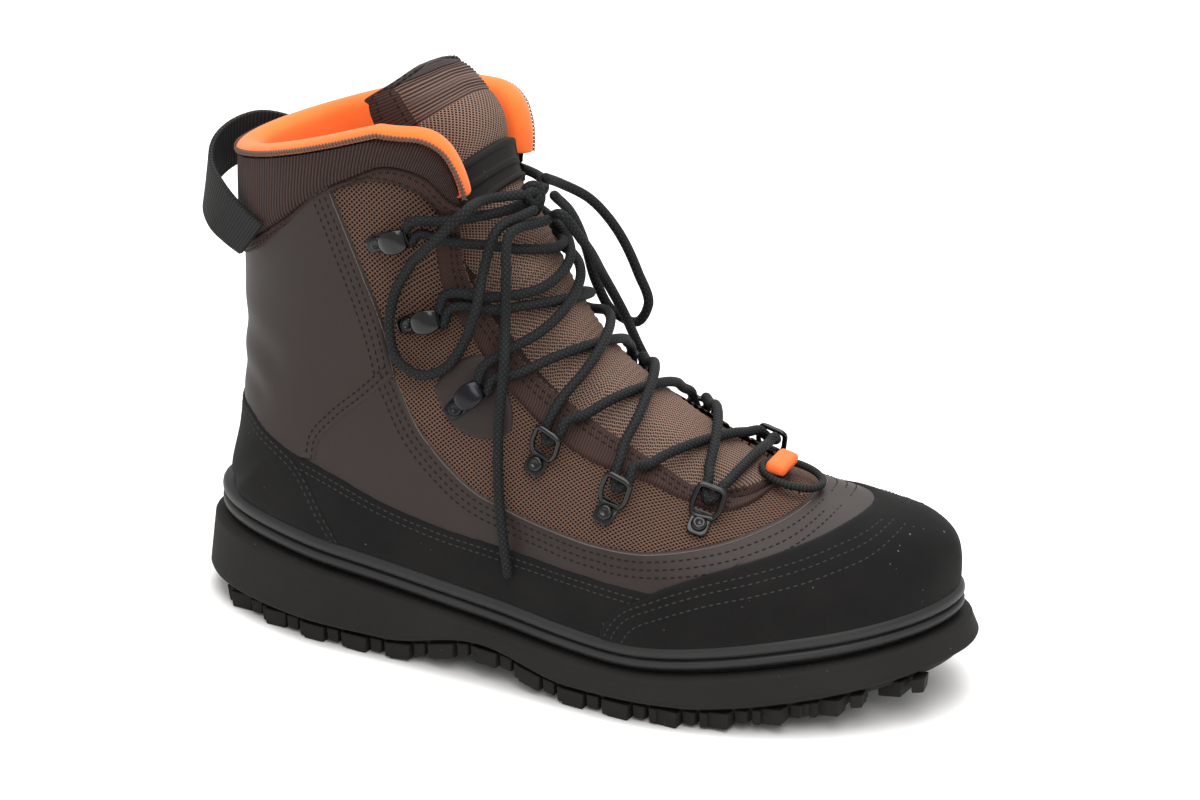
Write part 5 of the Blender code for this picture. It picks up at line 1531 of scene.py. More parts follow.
@dataclass
class Upper:
    """The mesh shell with its leather, nubuck and binding overlays and the padded cuff."""

    shell: Shell
    threads: Threads
    leather: float = 0.0012
    nubuck: float = 0.0017
    strip: float = 0.0014
    band: float = 0.0020
    cuff_pad: float = 0.0040
    under: float = 0.0030
    seam: float = 0.0004
    cuff_fill: float = 0.7
    pieces: dict = field(default_factory=dict)

    def lines(self) -> dict:
        """The overlays' outlines, with those that lie under another running on below it.

        Returns:
            Overlay name to its closed side-view outline in metres.
        """
        counter, band, cap, edge, seam, low, high = (
            fine_line(shifted(line, 0.0))
            for line in (COUNTER_EDGE, BAND_TOP, CAP_EDGE, LEATHER_EDGE, SEAM, COLLAR_LOW, COLLAR_UP)
        )
        back, front, above = -0.05 * SOLE_LENGTH, 1.1 * SOLE_LENGTH, 1.3 * COLLAR_HEIGHT
        sunk = [(x, z - self.under) for x, z in band]
        cap_under = [(x + self.under, z) for x, z in cap]
        split = [(x - self.under, z) for x, z in seam]
        meet = edge.index(min(edge, key=lambda p: math.dist(p, seam[0])))
        joint = cap.index(min(cap, key=lambda p: math.dist(p, band[-1])))
        return {
            "heel_counter": [(back, counter[0][1]), *counter, (-0.1 * SOLE_LENGTH, 0.0)],
            "toe_cap": [*cap, (front, cap[-1][1]), (front, 0.0)],
            "mudguard": [*band, *cap_under[:joint + 1][::-1], (cap[0][0], 0.0), (0.05, 0.0),
                         (0.03, band[0][1])],
            "vamp_panel": [*split[::-1], *edge[meet + 1:], *cap_under[joint:][::-1], *sunk[::-1]],
            "quarter_panel": [(back, 0.16), (back, 0.06), *sunk[:6], *seam[::-1], *edge[:meet + 1][::-1],
                              *((x, z + self.under) for x, z in low[::-1] if x < edge[0][0]), (back, 0.16)],
            "collar_band": [*low, *high[::-1]],
            "collar_cuff": [*((x, z + self.seam) for x, z in high), (0.5 * SOLE_LENGTH, above),
                            (back, above)],
        }

    def build(self) -> None:
        """Make the shell and every overlay, then their stitches."""
        shell = self.shell
        base = piece("upper_mesh", shell.base(), MESH, ("upper",))
        base.data.materials.append(LINING.material())
        wall = base.modifiers.new("wall", "SOLIDIFY")
        wall.thickness = UPPER_WALL
        wall.offset = -1
        wall.material_offset = 1
        plain(base)
        self.pieces["upper"] = base
        lines = self.lines()
        # Each overlay: thickness, finish, side, height of what it covers, and reach of its rolled edge.
        plan = (
            ("vamp_panel", self.leather, LEATHER, None, 0.0, 0.0012),
            ("quarter_panel", self.leather, LEATHER, None, 0.0005, 0.0012),
            ("mudguard_lateral", self.nubuck, NUBUCK, LATERAL, 0.0003, 0.0016),
            ("mudguard_medial", self.nubuck, NUBUCK, MEDIAL, 0.0003, 0.0016),
            ("heel_counter", self.nubuck, NUBUCK, None, 0.0006, 0.0016),
            ("toe_cap", self.nubuck, NUBUCK, None, 0.0008, 0.0018),
            ("collar_band", self.band, BINDING, None, 0.0006, 0.0014),
            ("collar_cuff", self.cuff_pad, CUFF, None, 0.0, 0.0075),
        )
        for name, thick, finish, side, lift, rounding in plan:
            inside = shell.outline_field(lines[name.replace("_lateral", "").replace("_medial", "")])
            if name == "collar_cuff":
                inside = np.minimum(inside, shell.from_edge + 0.0004)
            mesh = shell.panel(name, inside, thick, side, rounding, lift)
            self.pieces[name] = piece(name + "_cover", mesh, finish, (name,))
        patch = fine_line(shifted((*HOOK_PATCH, HOOK_PATCH[0]), 0.0))
        inside = np.minimum(shell.outline_field(patch), shell.from_edge - 0.001)
        for side, word in SIDES:
            name = "hook_patch_" + word
            self.pieces[name] = piece(name, shell.panel(name, inside, 0.0009, side, 0.0010), LEATHER)
        self.build_eyestays()
        self.sew()

    def build_eyestays(self) -> None:
        """The bound strips along the throat, one on each side."""
        shell = self.shell
        width = BALL_WIDTH * read(EYESTAY, "width", shell.place)
        for side, word in SIDES:
            inside = np.minimum(width - shell.from_edge, shell.from_edge + 0.0006)
            foot, head = shell.place - EYESTAY[0].place + 0.4, EYESTAY[-1].place + 0.9 - shell.place
            inside = np.minimum(inside, 0.02 * np.minimum(foot, head))
            name = "eyestay_" + word
            mesh = shell.panel(name, inside, self.strip, side, 0.0012, 0.0004)
            self.pieces[name] = piece(name + "_tape", mesh, BINDING, (name,))

    def row(
        self, group: str, name: str, line: tuple, amounts: tuple, sides: tuple = (LATERAL, MEDIAL)
    ) -> None:
        """Rows of stitches beside a side-view line.

        Args:
            group: the thread's group.
            name: the piece that is sewn.
            line: the side-view line as shares.
            amounts: distances to the line's left in metres.
            sides: the sides that are sewn.
        """
        tree = surface_of(self.pieces[name])
        for amount in amounts:
            path = fine_line(shifted(line, amount), 0.0015)
            for side in sides:
                points, normals = cast_side(tree, path, side)
                gaps = np.linalg.norm(np.diff(points, axis=0), axis=1) if len(points) else np.zeros(0)
                stops = [0, *(np.nonzero(gaps > 0.012)[0] + 1), len(points)]
                for start, stop in zip(stops, stops[1:]):
                    if stop - start > 3:
                        self.threads.add(group, points[start:stop], normals[start:stop])

    def edge_highlight(self, name: str, line: tuple) -> None:
        """A thin pale cord along an overlay's edge, a painted highlight where light catches it.

        Args:
            name: the overlay.
            line: the side-view line as shares.
        """
        tree = surface_of(self.pieces[name])
        for side, word in SIDES:
            points, _ = cast_side(tree, fine_line(shifted(line, -0.0004), 0.0020), side)
            if len(points) > 3:
                label = f"edge_highlight_{name}_{word}"
                piece(label, lace_mesh(label, through(points, 0.0020), 0.00024, 8), EDGE_HIGHLIGHT)

    def sew(self) -> None:
        """Every row of stitches on the overlays."""
        sewn = self.threads.add
        for side, _ in SIDES:
            for distance in (0.0026, 0.0052):
                line = self.shell.along_throat(side, distance, self.strip + 0.0005)
                sewn("binding_stitches", *line)
            for slant in (SLANT, -SLANT):
                sewn("edge_stitches", *self.shell.along_throat(side, 0.0004, self.strip), slant)
        double, triple = (-0.0026, -0.0052), (-0.0028, -0.0056, -0.0084)
        panels = (("vamp_panel", LEATHER_EDGE[4:]), ("quarter_panel", LEATHER_EDGE[:5]))
        # A thin pale cord along each leather panel's edge, as painted highlight.
        for name, line in panels:
            self.edge_highlight(name, line)
        for name, line in panels:
            self.row("leather_stitches", name, line, triple)
        self.row("leather_stitches", "quarter_panel", SEAM, double)
        for side, word in SIDES:
            self.row("nubuck_stitches", "mudguard_" + word, BAND_TOP[1:], double, (side,))
        self.row("nubuck_stitches", "heel_counter", COUNTER_EDGE, double)
        self.row("nubuck_stitches", "toe_cap", CAP_EDGE, (-0.0028, -0.0056, -0.0100))
        self.row("binding_stitches", "collar_band", COLLAR_LOW, (0.0018,))
        self.row("binding_stitches", "collar_band", COLLAR_UP, (-0.0016,))


@dataclass
class Sole:
    """Welt, outsole wall with its lip and step, chunky lugs and the footbed."""

    stations: int = 150
    lug_bevel: float = 0.0005
    toe_room: float = 0.024
    edge_sink: float = 0.0004
    # The small lugs between the big ones: share of their width, and how much higher their faces stand.
    between_width: float = 0.8
    between_rise: float = 0.0012
    # A lug's root: how much wider it is, and how far it goes into the rubber.
    root_scale: float = 1.14
    root_depth: float = 0.0014
    # Blocks on the lower wall beside each lug: place and length as shares of the lugs' rhythm, depth
    # and how much higher their faces stand.
    edge_blocks: tuple = ((0.06, 0.46, 0.0066, 0.0), (0.50, 0.24, 0.0050, 0.0012),
                          (0.80, 0.16, 0.0060, 0.0004))
    # Depth of the welt's wall as shares of RIB_DEPTH, at shares of its height: two ribs and a groove.
    ribs: tuple = ((0.0, 2.1), (0.10, 2.0), (0.16, 1.2), (0.20, 0.55), (0.25, 0.2), (0.32, 0.02), (0.39, 0.0),
                   (0.45, 0.15), (0.49, 0.55), (0.515, 1.15), (0.535, 1.5), (0.555, 1.15), (0.58, 0.6),
                   (0.62, 0.22), (0.68, 0.02), (0.76, 0.0), (0.84, 0.12), (0.91, 0.45), (0.965, 0.95),
                   (1.0, 1.5))

    def ring_grid(self, rings: list) -> Array:
        """Loops of points round the sole.

        Args:
            rings: an inset from the sole's outline and a height function for each loop.

        Returns:
            Loops by points by 3.
        """
        share = 0.5 - 0.5 * np.cos(np.pi * np.linspace(0, 1, self.stations + 1))
        loops = []
        for inset, height in rings:
            x = inset + (SOLE_LENGTH - 2 * inset) * share
            z = height(x)
            sides = [np.stack([x, swing(x) + s * half_width(x, s, inset, inset, inset), z], -1)
                     for s in (LATERAL, MEDIAL)]
            loops.append(np.concatenate([sides[0], sides[1][-2:0:-1]]))
        return np.array(loops)

    def body(self, name: str, rings: list) -> Mesh:
        """A closed body through rings, its bottom and top filled.

        Args:
            name: the mesh's name.
            rings: an inset from the sole's outline and a height function for each, from the bottom up.

        Returns:
            The mesh.
        """
        grid = self.ring_grid(rings)
        rows, count = grid.shape[:2]
        faces = grid_faces(rows, count, closed=True)
        n = self.stations
        caps = []
        for base, turn in ((0, False), ((rows - 1) * count, True)):
            for i in range(n):
                cap = [base + k for k in (i, i + 1, (count - i - 1) % count, (count - i) % count)]
                caps.append(cap if turn else cap[::-1])
        cloth = np.concatenate([grid_cloth(grid, closed=True), np.zeros((len(caps), 4, 2))])
        return mesh_of(name, grid.reshape(-1, 3), np.concatenate([faces, np.array(caps)]), cloth)

    def build(self) -> None:
        """Make the welt, the outsole with its lugs, and the footbed."""
        def welt(share: float) -> Callable:
            """Height of the welt's wall at a share of the way up it."""
            return lambda x: lip_z(x) + FIT + (feather_z(x) - lip_z(x) - FIT) * share

        rings = [(WELT_INSET + RIB_DEPTH * amount, welt(share)) for share, amount in self.ribs]
        piece("welt", self.body("welt", rings), WELT, ("midsole",))
        wall = []
        for share in np.linspace(0, 1, 9):
            wall.append((-SIDE_FLARE + share * (SIDE_FLARE - 0.0004),
                         lambda x, s=share: (step_z(x) + 0.0016) * (1 - s) + (lip_z(x) - 0.0026) * s))
        rings = [(BASE_INSET, base_z), (BASE_INSET - 0.0010, lambda x: base_z(x) + 0.5 * STEP_HEIGHT),
                 (BASE_INSET - 0.0016, lambda x: step_z(x) - 0.0006),
                 (-SIDE_FLARE + 0.0016, lambda x: step_z(x) - 0.0002),
                 (-SIDE_FLARE + 0.0005, lambda x: step_z(x) + 0.0004), *wall,
                 (-0.0003, lambda x: lip_z(x) - 0.0018), (0.0001, lambda x: lip_z(x) - 0.0011),
                 (0.0008, lambda x: lip_z(x) - 0.0004), (0.0018, lip_z)]
        piece("outsole_wall", self.body("outsole_wall", rings), RUBBER, ("outsole",))
        self.lugs()
        room = HEEL_INSET + UPPER_WALL + 0.0012
        bed = [(room, lambda x: feather_z(x) + FEATHER_GAP), (room, lambda x: feather_z(x) + 0.0036),
               (room + 0.0006, lambda x: feather_z(x) + 0.0044)]
        piece("footbed", self.body("footbed", bed), FELT, ("insole",))

    def base_half(self, x: float, side: int) -> float:
        """Half width of the rubber between the lugs."""
        return float(half_width(x, side, BASE_INSET, BASE_INSET, BASE_INSET))

    def lugs(self) -> None:
        """Chunky uneven lugs under the sole, and small blocks on its lower wall."""
        work = bmesh.new()
        for row in LUG_ROWS:
            reach = SOLE_LENGTH - 2 * LUG_MARGIN
            for k in range(row.count):
                share = row.first + (row.last - row.first) * k / (row.count - 1)
                x = LUG_MARGIN + reach * share
                wide = self.base_half(x, row.side)
                length = row.length * SOLE_LENGTH * (1.0 + LUG_VARY * math.cos(LUG_RHYTHM * k))
                y = float(swing(x)) + row.side * wide * (row.across - 0.5 * row.width)
                turn = math.radians(row.slant) * row.side
                self.block(work, (x, y), (length, row.width * wide), turn, 0.0)
                step = reach * (row.last - row.first) / (row.count - 1)
                small = 0.5 * length, self.between_width * row.width * wide
                self.block(work, (x + 0.5 * step, y), small, -turn, self.between_rise)
                if row.across > 0.9:
                    for share, long, deep, rise in self.edge_blocks:
                        at = x + share * step
                        if at < SOLE_LENGTH - self.toe_room:
                            out = self.base_half(at, row.side) - self.edge_sink
                            self.block(work, (at, float(swing(at)) + row.side * out), (long * step, deep),
                                       turn, rise)
        bmesh.ops.recalc_face_normals(work, faces=work.faces)
        bmesh.ops.bevel(work, geom=work.edges[:], offset=self.lug_bevel, segments=2, profile=0.5,
                        affect="EDGES", clamp_overlap=True)
        mesh = bpy.data.meshes.new("lugs")
        bmesh.ops.translate(work, vec=ORIGIN, verts=work.verts)
        work.to_mesh(mesh)
        work.free()
        mesh.uv_layers.new(name="cloth")
        piece("outsole_lugs", mesh, RUBBER)

    def block(self, work: bmesh.types.BMesh, at: tuple, size: tuple, turn: float, rise: float) -> None:
        """One lug, wider at its root.

        Args:
            work: the mesh that takes it.
            at: its middle on the sole's plan.
            size: its length and width.
            turn: its turn on the plan in radians.
            rise: how far its face stands above the tread's.
        """
        made = []
        for level, scale in ((1, self.root_scale), (0, 1.0)):
            for sx, sy in ((-1, -1), (1, -1), (1, 1), (-1, 1)):
                dx, dy = 0.5 * size[0] * sx * scale, 0.5 * size[1] * sy * scale
                px = at[0] + dx * math.cos(turn) - dy * math.sin(turn)
                py = at[1] + dx * math.sin(turn) + dy * math.cos(turn)
                pz = float(base_z(px)) + self.root_depth if level else float(tread_z(px)) + rise
                made.append(work.verts.new((px, py, pz)))
        work.faces.new(made[:4])
        work.faces.new(made[:3:-1])
        for i in range(4):
            j = (i + 1) % 4
            work.faces.new([made[j], made[i], made[4 + i], made[4 + j]])


@dataclass
class Tongue:
    """The padded tongue: mesh body, bound edges, ribbed elastic head, leather tip and rubber patch."""

    threads: Threads
    pad: float = 0.0045
    rows: int = 420
    columns: int = 70
    border: float = 0.0065
    elastic_from: float = 21.6
    tip_from: float = 24.85
    rib_pitch: float = 0.0028
    elastic_pitch: float = 0.0015
    rib_places: tuple = (8.0, 16.2)
    bead: float = 0.0006
    bead_reach: float = 0.0020
    groove: float = 0.0005
    groove_width: float = 0.0008
    body_reach: float = 0.0012
    seam_width: float = 0.05
    edge_drop: float = 0.0012
    edge_reach: float = 0.0016
    back_gap: float = 0.0006
    fullness: float = 0.8
    stitch_lines: tuple = (0.0018, 0.0050)
    stitch_reach: float = 0.0008
    rib_depth: float = 0.0002
    elastic_depth: float = 0.00022
    seam_depth: float = 0.0007
    patch_height: float = 0.0026
    patch_floor: float = 0.0008
    bar_height: float = 0.0007
    patch_wall: float = 0.0010

    def build(self) -> None:
        """Make the tongue and its patch."""
        places = np.linspace(TONGUE[0].place, TONGUE_TIP - 0.03, self.rows)[:, None]
        across = np.linspace(-1, 1, self.columns)[None, :]
        wide = BALL_WIDTH * read(TONGUE, "half", places) * round_end(TONGUE_TIP + 0.02 - places, 1.0)
        half = wide * across
        full = places + 0 * half
        inset = wide - np.abs(half)
        flat = tongue_point(full, half, 0 * half)
        run = lengths(flat[:, self.columns // 2])[:, None] + 0 * half
        relief = self.bead * rolled(inset, self.bead_reach)
        body = ease((inset - self.border) / self.body_reach)
        relief = relief - self.groove * np.exp(-((inset - self.border) / self.groove_width) ** 2)
        lower = (full < self.rib_places[1]) & (full > self.rib_places[0])
        turn = 2 * np.pi * run
        relief = relief + np.where(lower, self.rib_depth * np.sin(turn / self.rib_pitch) * body, 0)
        elastic = (full >= self.elastic_from) & (full < self.tip_from)
        relief = relief + np.where(elastic, self.elastic_depth * np.sin(turn / self.elastic_pitch) * body, 0)
        for seam in (self.tip_from, self.elastic_from):
            relief = relief - self.seam_depth * np.exp(-((full - seam) / self.seam_width) ** 2)
        tip = run[-1:] - run
        near = np.minimum(inset, tip)
        puff = self.pad * rolled(near, self.pad)
        sink = UPPER_WALL + TONGUE_ROOM - swell(full, half)
        drop = self.edge_drop * (1 - ramp(near / self.edge_reach)) ** 2
        grid = tongue_point(full, half, sink - relief + drop)
        back = tongue_point(full, half, sink + self.back_gap + self.fullness * puff)
        ring = np.concatenate([grid, back[:, ::-1]], 1)
        faces = grid_faces(self.rows, 2 * self.columns, closed=True)
        mesh = mesh_of("tongue_cloth", ring.reshape(-1, 3), faces, grid_cloth(ring, closed=True))
        tongue = piece("tongue_cloth", mesh, TONGUE_MESH, ("tongue",))
        for finish in (BINDING, ELASTIC, LEATHER):
            tongue.data.materials.append(finish.material())
        at = np.concatenate([full, full[:, ::-1]], 1)[:-1].ravel()
        deep = np.concatenate([inset, inset[:, ::-1]], 1)[:-1].ravel()
        slots = np.where(at > self.tip_from, 3, np.where(at > self.elastic_from, 2, 0))
        slots = np.where((deep < self.border) & (at <= self.tip_from), 1, slots)
        tongue.data.polygons.foreach_set("material_index", slots.astype(np.int32))
        self.sew(grid, inset)
        self.patch()

    def sew(self, grid: Array, inset: Array) -> None:
        """Stitch rows along both borders and round the tip.

        Args:
            grid: the tongue's face, rows by columns by 3.
            inset: how far each of its points lies inside the edge.
        """
        normal = np.cross(np.gradient(grid, axis=1), np.gradient(grid, axis=0))
        normal /= np.maximum(np.linalg.norm(normal, axis=-1, keepdims=True), TINY)
        if normal[self.rows // 2, self.columns // 2, 0] < 0:
            normal = -normal
        for deep in self.stitch_lines:
            for columns in (slice(0, self.columns // 2), slice(self.columns // 2, None)):
                part = inset[:, columns]
                points, normals = [], []
                for r in range(6, self.rows - 4):
                    c = int(np.argmin(np.abs(part[r] - deep)))
                    if abs(part[r, c] - deep) < self.stitch_reach:
                        points.append(grid[r, columns][c])
                        normals.append(normal[r, columns][c])
                if len(points) > 8:
                    path = np.pad(points, ((2, 2), (0, 0)), "edge")
                    soft = np.stack([np.convolve(path[:, k], np.ones(5) / 5, "valid") for k in range(3)], -1)
                    self.threads.add("binding_stitches", soft, np.array(normals))

    def patch(self) -> None:
        """The rubber patch, with a raised border and plain bars."""
        rows, columns = 60, 90
        p = np.linspace(*PATCH_PLACES, rows)[:, None] + np.zeros((1, columns))
        h = BALL_WIDTH * np.linspace(*PATCH_HALVES, columns)[None, :] + np.zeros((rows, 1))
        a = np.abs(np.linspace(-1, 1, rows))[:, None] + 0 * p
        b = np.abs(np.linspace(-1, 1, columns))[None, :] + 0 * p
        flat = tongue_point(p, h, 0 * p)
        tall = np.linalg.norm(flat[-1, columns // 2] - flat[0, columns // 2])
        long = np.linalg.norm(flat[rows // 2, -1] - flat[rows // 2, 0])
        edge = np.minimum((1 - a) * 0.5 * tall, (1 - b) * 0.5 * long)
        border = self.patch_floor * ease((edge - 0.0026) / 0.0006)
        height = self.patch_height * rolled(edge, 0.0012) - border
        bars = 0.5 + 0.5 * np.cos(2 * np.pi * (np.linspace(-0.5, 0.5, rows)[:, None] + 0 * p) * 3)
        height = height + self.bar_height * ease(3 * bars - 1.4) * ease((edge - 0.0042) / 0.0008)
        sink = UPPER_WALL + TONGUE_ROOM - swell(p, h) - 2 * FIT - height + 0.0012 * (edge < 0.0001)
        grid = tongue_point(p, h, sink)
        mesh = mesh_of("patch", grid.reshape(-1, 3), grid_faces(rows, columns), grid_cloth(grid))
        patch = piece("patch", mesh, RUBBER, ("tongue_patch",))
        walled(patch, self.patch_wall, -1)


@dataclass
class Collar:
    """The orange lining rolled over the rim, its zig-zag seam, and the webbing pull loop."""

    threads: Threads
    pad: float = 0.0036
    cuff_pad: float = 0.0040
    roll: float = 0.0050
    leg: tuple = (0.024, 0.010)
    low_place: float = 20.0
    loop_width: float = 0.020
    loop_wall: float = 0.0020
    loop_edge: float = 0.0006

    def stops(self) -> tuple[Array, Array, Array]:
        """Where the rolled lining runs, along the rim and down the throat's edges.

        Returns:
            Points, outward directions, and how far down the lining reaches at each.
        """
        places = np.linspace(self.low_place, COLLAR_PLACE, 46)
        drops = np.linspace(0, 1, 90)
        half = [(COLLAR_PLACE, d) for d in drops] + [(p, 1.0) for p in places[-2::-1]]
        stops = [(p, d, MEDIAL) for p, d in half[:0:-1]] + [(p, d, LATERAL) for p, d in half]
        points, normals, lows = [], [], []
        for place, drop, side in stops:
            def at(p: float, d: float) -> Array:
                """The last's point at a place and a share of the way down from the ridge."""
                spread = 0.5 - 0.5 * np.cos(np.pi * np.clip(d, 0, 1))
                return last_point(p, spread * share_at(p, side, throat_half(p, side)), side)

            points.append(at(place, drop))
            along = at(place + 0.2, drop) - at(place - 0.2, drop)
            down = at(place, drop + 0.06) - at(place, drop - 0.06)
            normals.append(unit(np.cross(along, down) * side if drop else np.array([-1.0, 0.0, 0.0])))
            lows.append(self.leg[0] + (self.leg[1] - self.leg[0]) * float(ease(drop * 1.3)))
        return np.array(points), np.array(normals), np.array(lows)

    def build(self) -> None:
        """Make the rolled lining, its stitches and the pull loop."""
        points, normals, legs = self.stops()
        tangent = unit(np.gradient(points, axis=0))
        for _ in range(6):
            tangent[1:-1] = (tangent[:-2] + 2 * tangent[1:-1] + tangent[2:]) / 4
            normals[1:-1] = (normals[:-2] + 2 * normals[1:-1] + normals[2:]) / 4
        inner = -(UPPER_WALL + 2 * FIT)
        deep = inner - self.pad
        outer = self.cuff_pad + FIT
        # Each corner: distance out from the last, share of the leg's length, and height over the rim.
        section = ((inner, -1.0, 0), (inner, 0, 0.0004), (outer - 0.001, 0, 0.0004),
                   (outer + 0.0005, 0, 0.0014), (outer, 0, 0.0028), (0.7 * outer, 0, 0.0043),
                   (0.3 * outer, 0, self.roll), (0.2 * deep, 0, self.roll + 0.0002), (0.5 * deep, 0, 0.0046),
                   (0.8 * deep, 0, 0.0034), (0.97 * deep, 0, 0.0016), (1.02 * deep, -0.25, 0),
                   (1.0 * deep, -0.6, 0), (0.95 * deep, -0.9, 0), (0.8 * deep, -1.0, 0))
        loops = []
        for point, normal, along, leg in zip(points, normals, tangent, legs):
            normal = unit(normal - along * (normal @ along))
            beyond = np.cross(normal, along)
            ring = [point + normal * (n - 0.20 * max(-b * leg, 0)) + beyond * (b * leg + more)
                    for n, b, more in section]
            loops.append(ring)
        grid = np.array(loops)
        rows, columns = grid.shape[:2]
        faces = grid_faces(rows, columns, closed=True)
        caps = [(0, k, k + 1, k + 1) for k in range(1, columns - 1)]
        last = (rows - 1) * columns
        caps += [(last, last + k + 1, last + k, last + k) for k in range(1, columns - 1)]
        cloth = np.concatenate([grid_cloth(grid, closed=True), np.zeros((len(caps), 4, 2))])
        mesh = mesh_of("lining_roll", grid.reshape(-1, 3), np.concatenate([faces, np.array(caps)]), cloth)
        work = bmesh.new()
        work.from_mesh(mesh)
        bmesh.ops.recalc_face_normals(work, faces=work.faces)
        work.to_mesh(mesh)
        work.free()
        roll = piece("lining_roll", mesh, LINING, ("collar_lining",))
        soft = roll.modifiers.new("soft", "SUBSURF")
        soft.levels = soft.render_levels = 1
        plain(roll)
        self.zigzag(grid)
        self.pull_loop()

    def zigzag(self, grid: Array) -> None:
        """The overlock zig-zag where the lining meets the cuff.

        Args:
            grid: the rolled lining's loops, one for each stop.
        """
        out = unit(grid[:, 4] - grid[:, 9])
        path = 0.5 * (grid[:, 3] + grid[:, 4]) + out * 0.0004
        fine = Threads(length=0.0034, width=0.0008, height=0.0008, pitch=0.0015)
        for slant, ahead in ((SLANT, 0.0), (-SLANT, 0.4)):
            fine.add("overlock_stitches", path + ahead * np.gradient(path, axis=0), out, slant)
        fine.build({"overlock_stitches": BROWN_THREAD})

    def pull_loop(self) -> None:
        """The webbing loop round the back of the cuff."""
        rows, columns = 150, 14
        at = np.linspace(0, len(LOOP) - 1, rows)
        index = range(len(LOOP))
        x, y, z, lean_x, lean_y = (smooth(index, column, at) for column in np.array(LOOP).T)
        middle = np.stack([SOLE_LENGTH * x, BALL_WIDTH * y + swing(SOLE_LENGTH * x), COLLAR_HEIGHT * z], -1)
        rise = np.stack([lean_x, lean_y, np.sqrt(1 - lean_x ** 2 - lean_y ** 2)], -1)
        shares = np.linspace(-0.5, 0.5, columns)
        grid = middle[:, None] + self.loop_width * shares[None, :, None] * rise[:, None]
        mesh = mesh_of("pull_webbing", grid.reshape(-1, 3), grid_faces(rows, columns), grid_cloth(grid))
        loop = piece("pull_webbing", mesh, WEBBING, ("pull_loop",))
        walled(loop, self.loop_wall, 0)
        soft = loop.modifiers.new("edge", "BEVEL")
        soft.width = self.loop_edge
        soft.segments = 2
        plain(loop)


def lathe(profile: list, sides: int = 28) -> Pair:
    """A profile turned round local Z.

    Args:
        profile: its points as (radius, height).
        sides: points round it.

    Returns:
        Points and quads.
    """
    angle = np.linspace(0, 2 * np.pi, sides, endpoint=False)
    rings = [np.stack([r * np.cos(angle), r * np.sin(angle), z + 0 * angle], -1) for r, z in profile]
    return np.concatenate(rings), grid_faces(len(profile), sides, closed=True)


def strip(path: Array, wide: Array, thick: Array, normal: Array, power: float) -> Pair:
    """A flat bar along a path that lies in the local XZ plane.

    Args:
        path: its middle line.
        wide: its width at each point.
        thick: its thickness at each point.
        normal: the direction of its thickness at each point.
        power: how square its section is, 1 for an ellipse and less for a squarer one.

    Returns:
        Points and faces, with both ends filled.
    """
    angle = np.linspace(0, 2 * np.pi, 16, endpoint=False)
    a, b = (np.sign(v) * np.abs(v) ** power for v in (np.cos(angle), np.sin(angle)))
    half = 0.5 * wide[:, None, None] * a[None, :, None] * np.array((0.0, 1.0, 0.0))
    rings = path[:, None] + half + 0.5 * thick[:, None, None] * b[None, :, None] * normal[:, None]
    return capped(rings, rings[0].mean(0), rings[-1].mean(0))


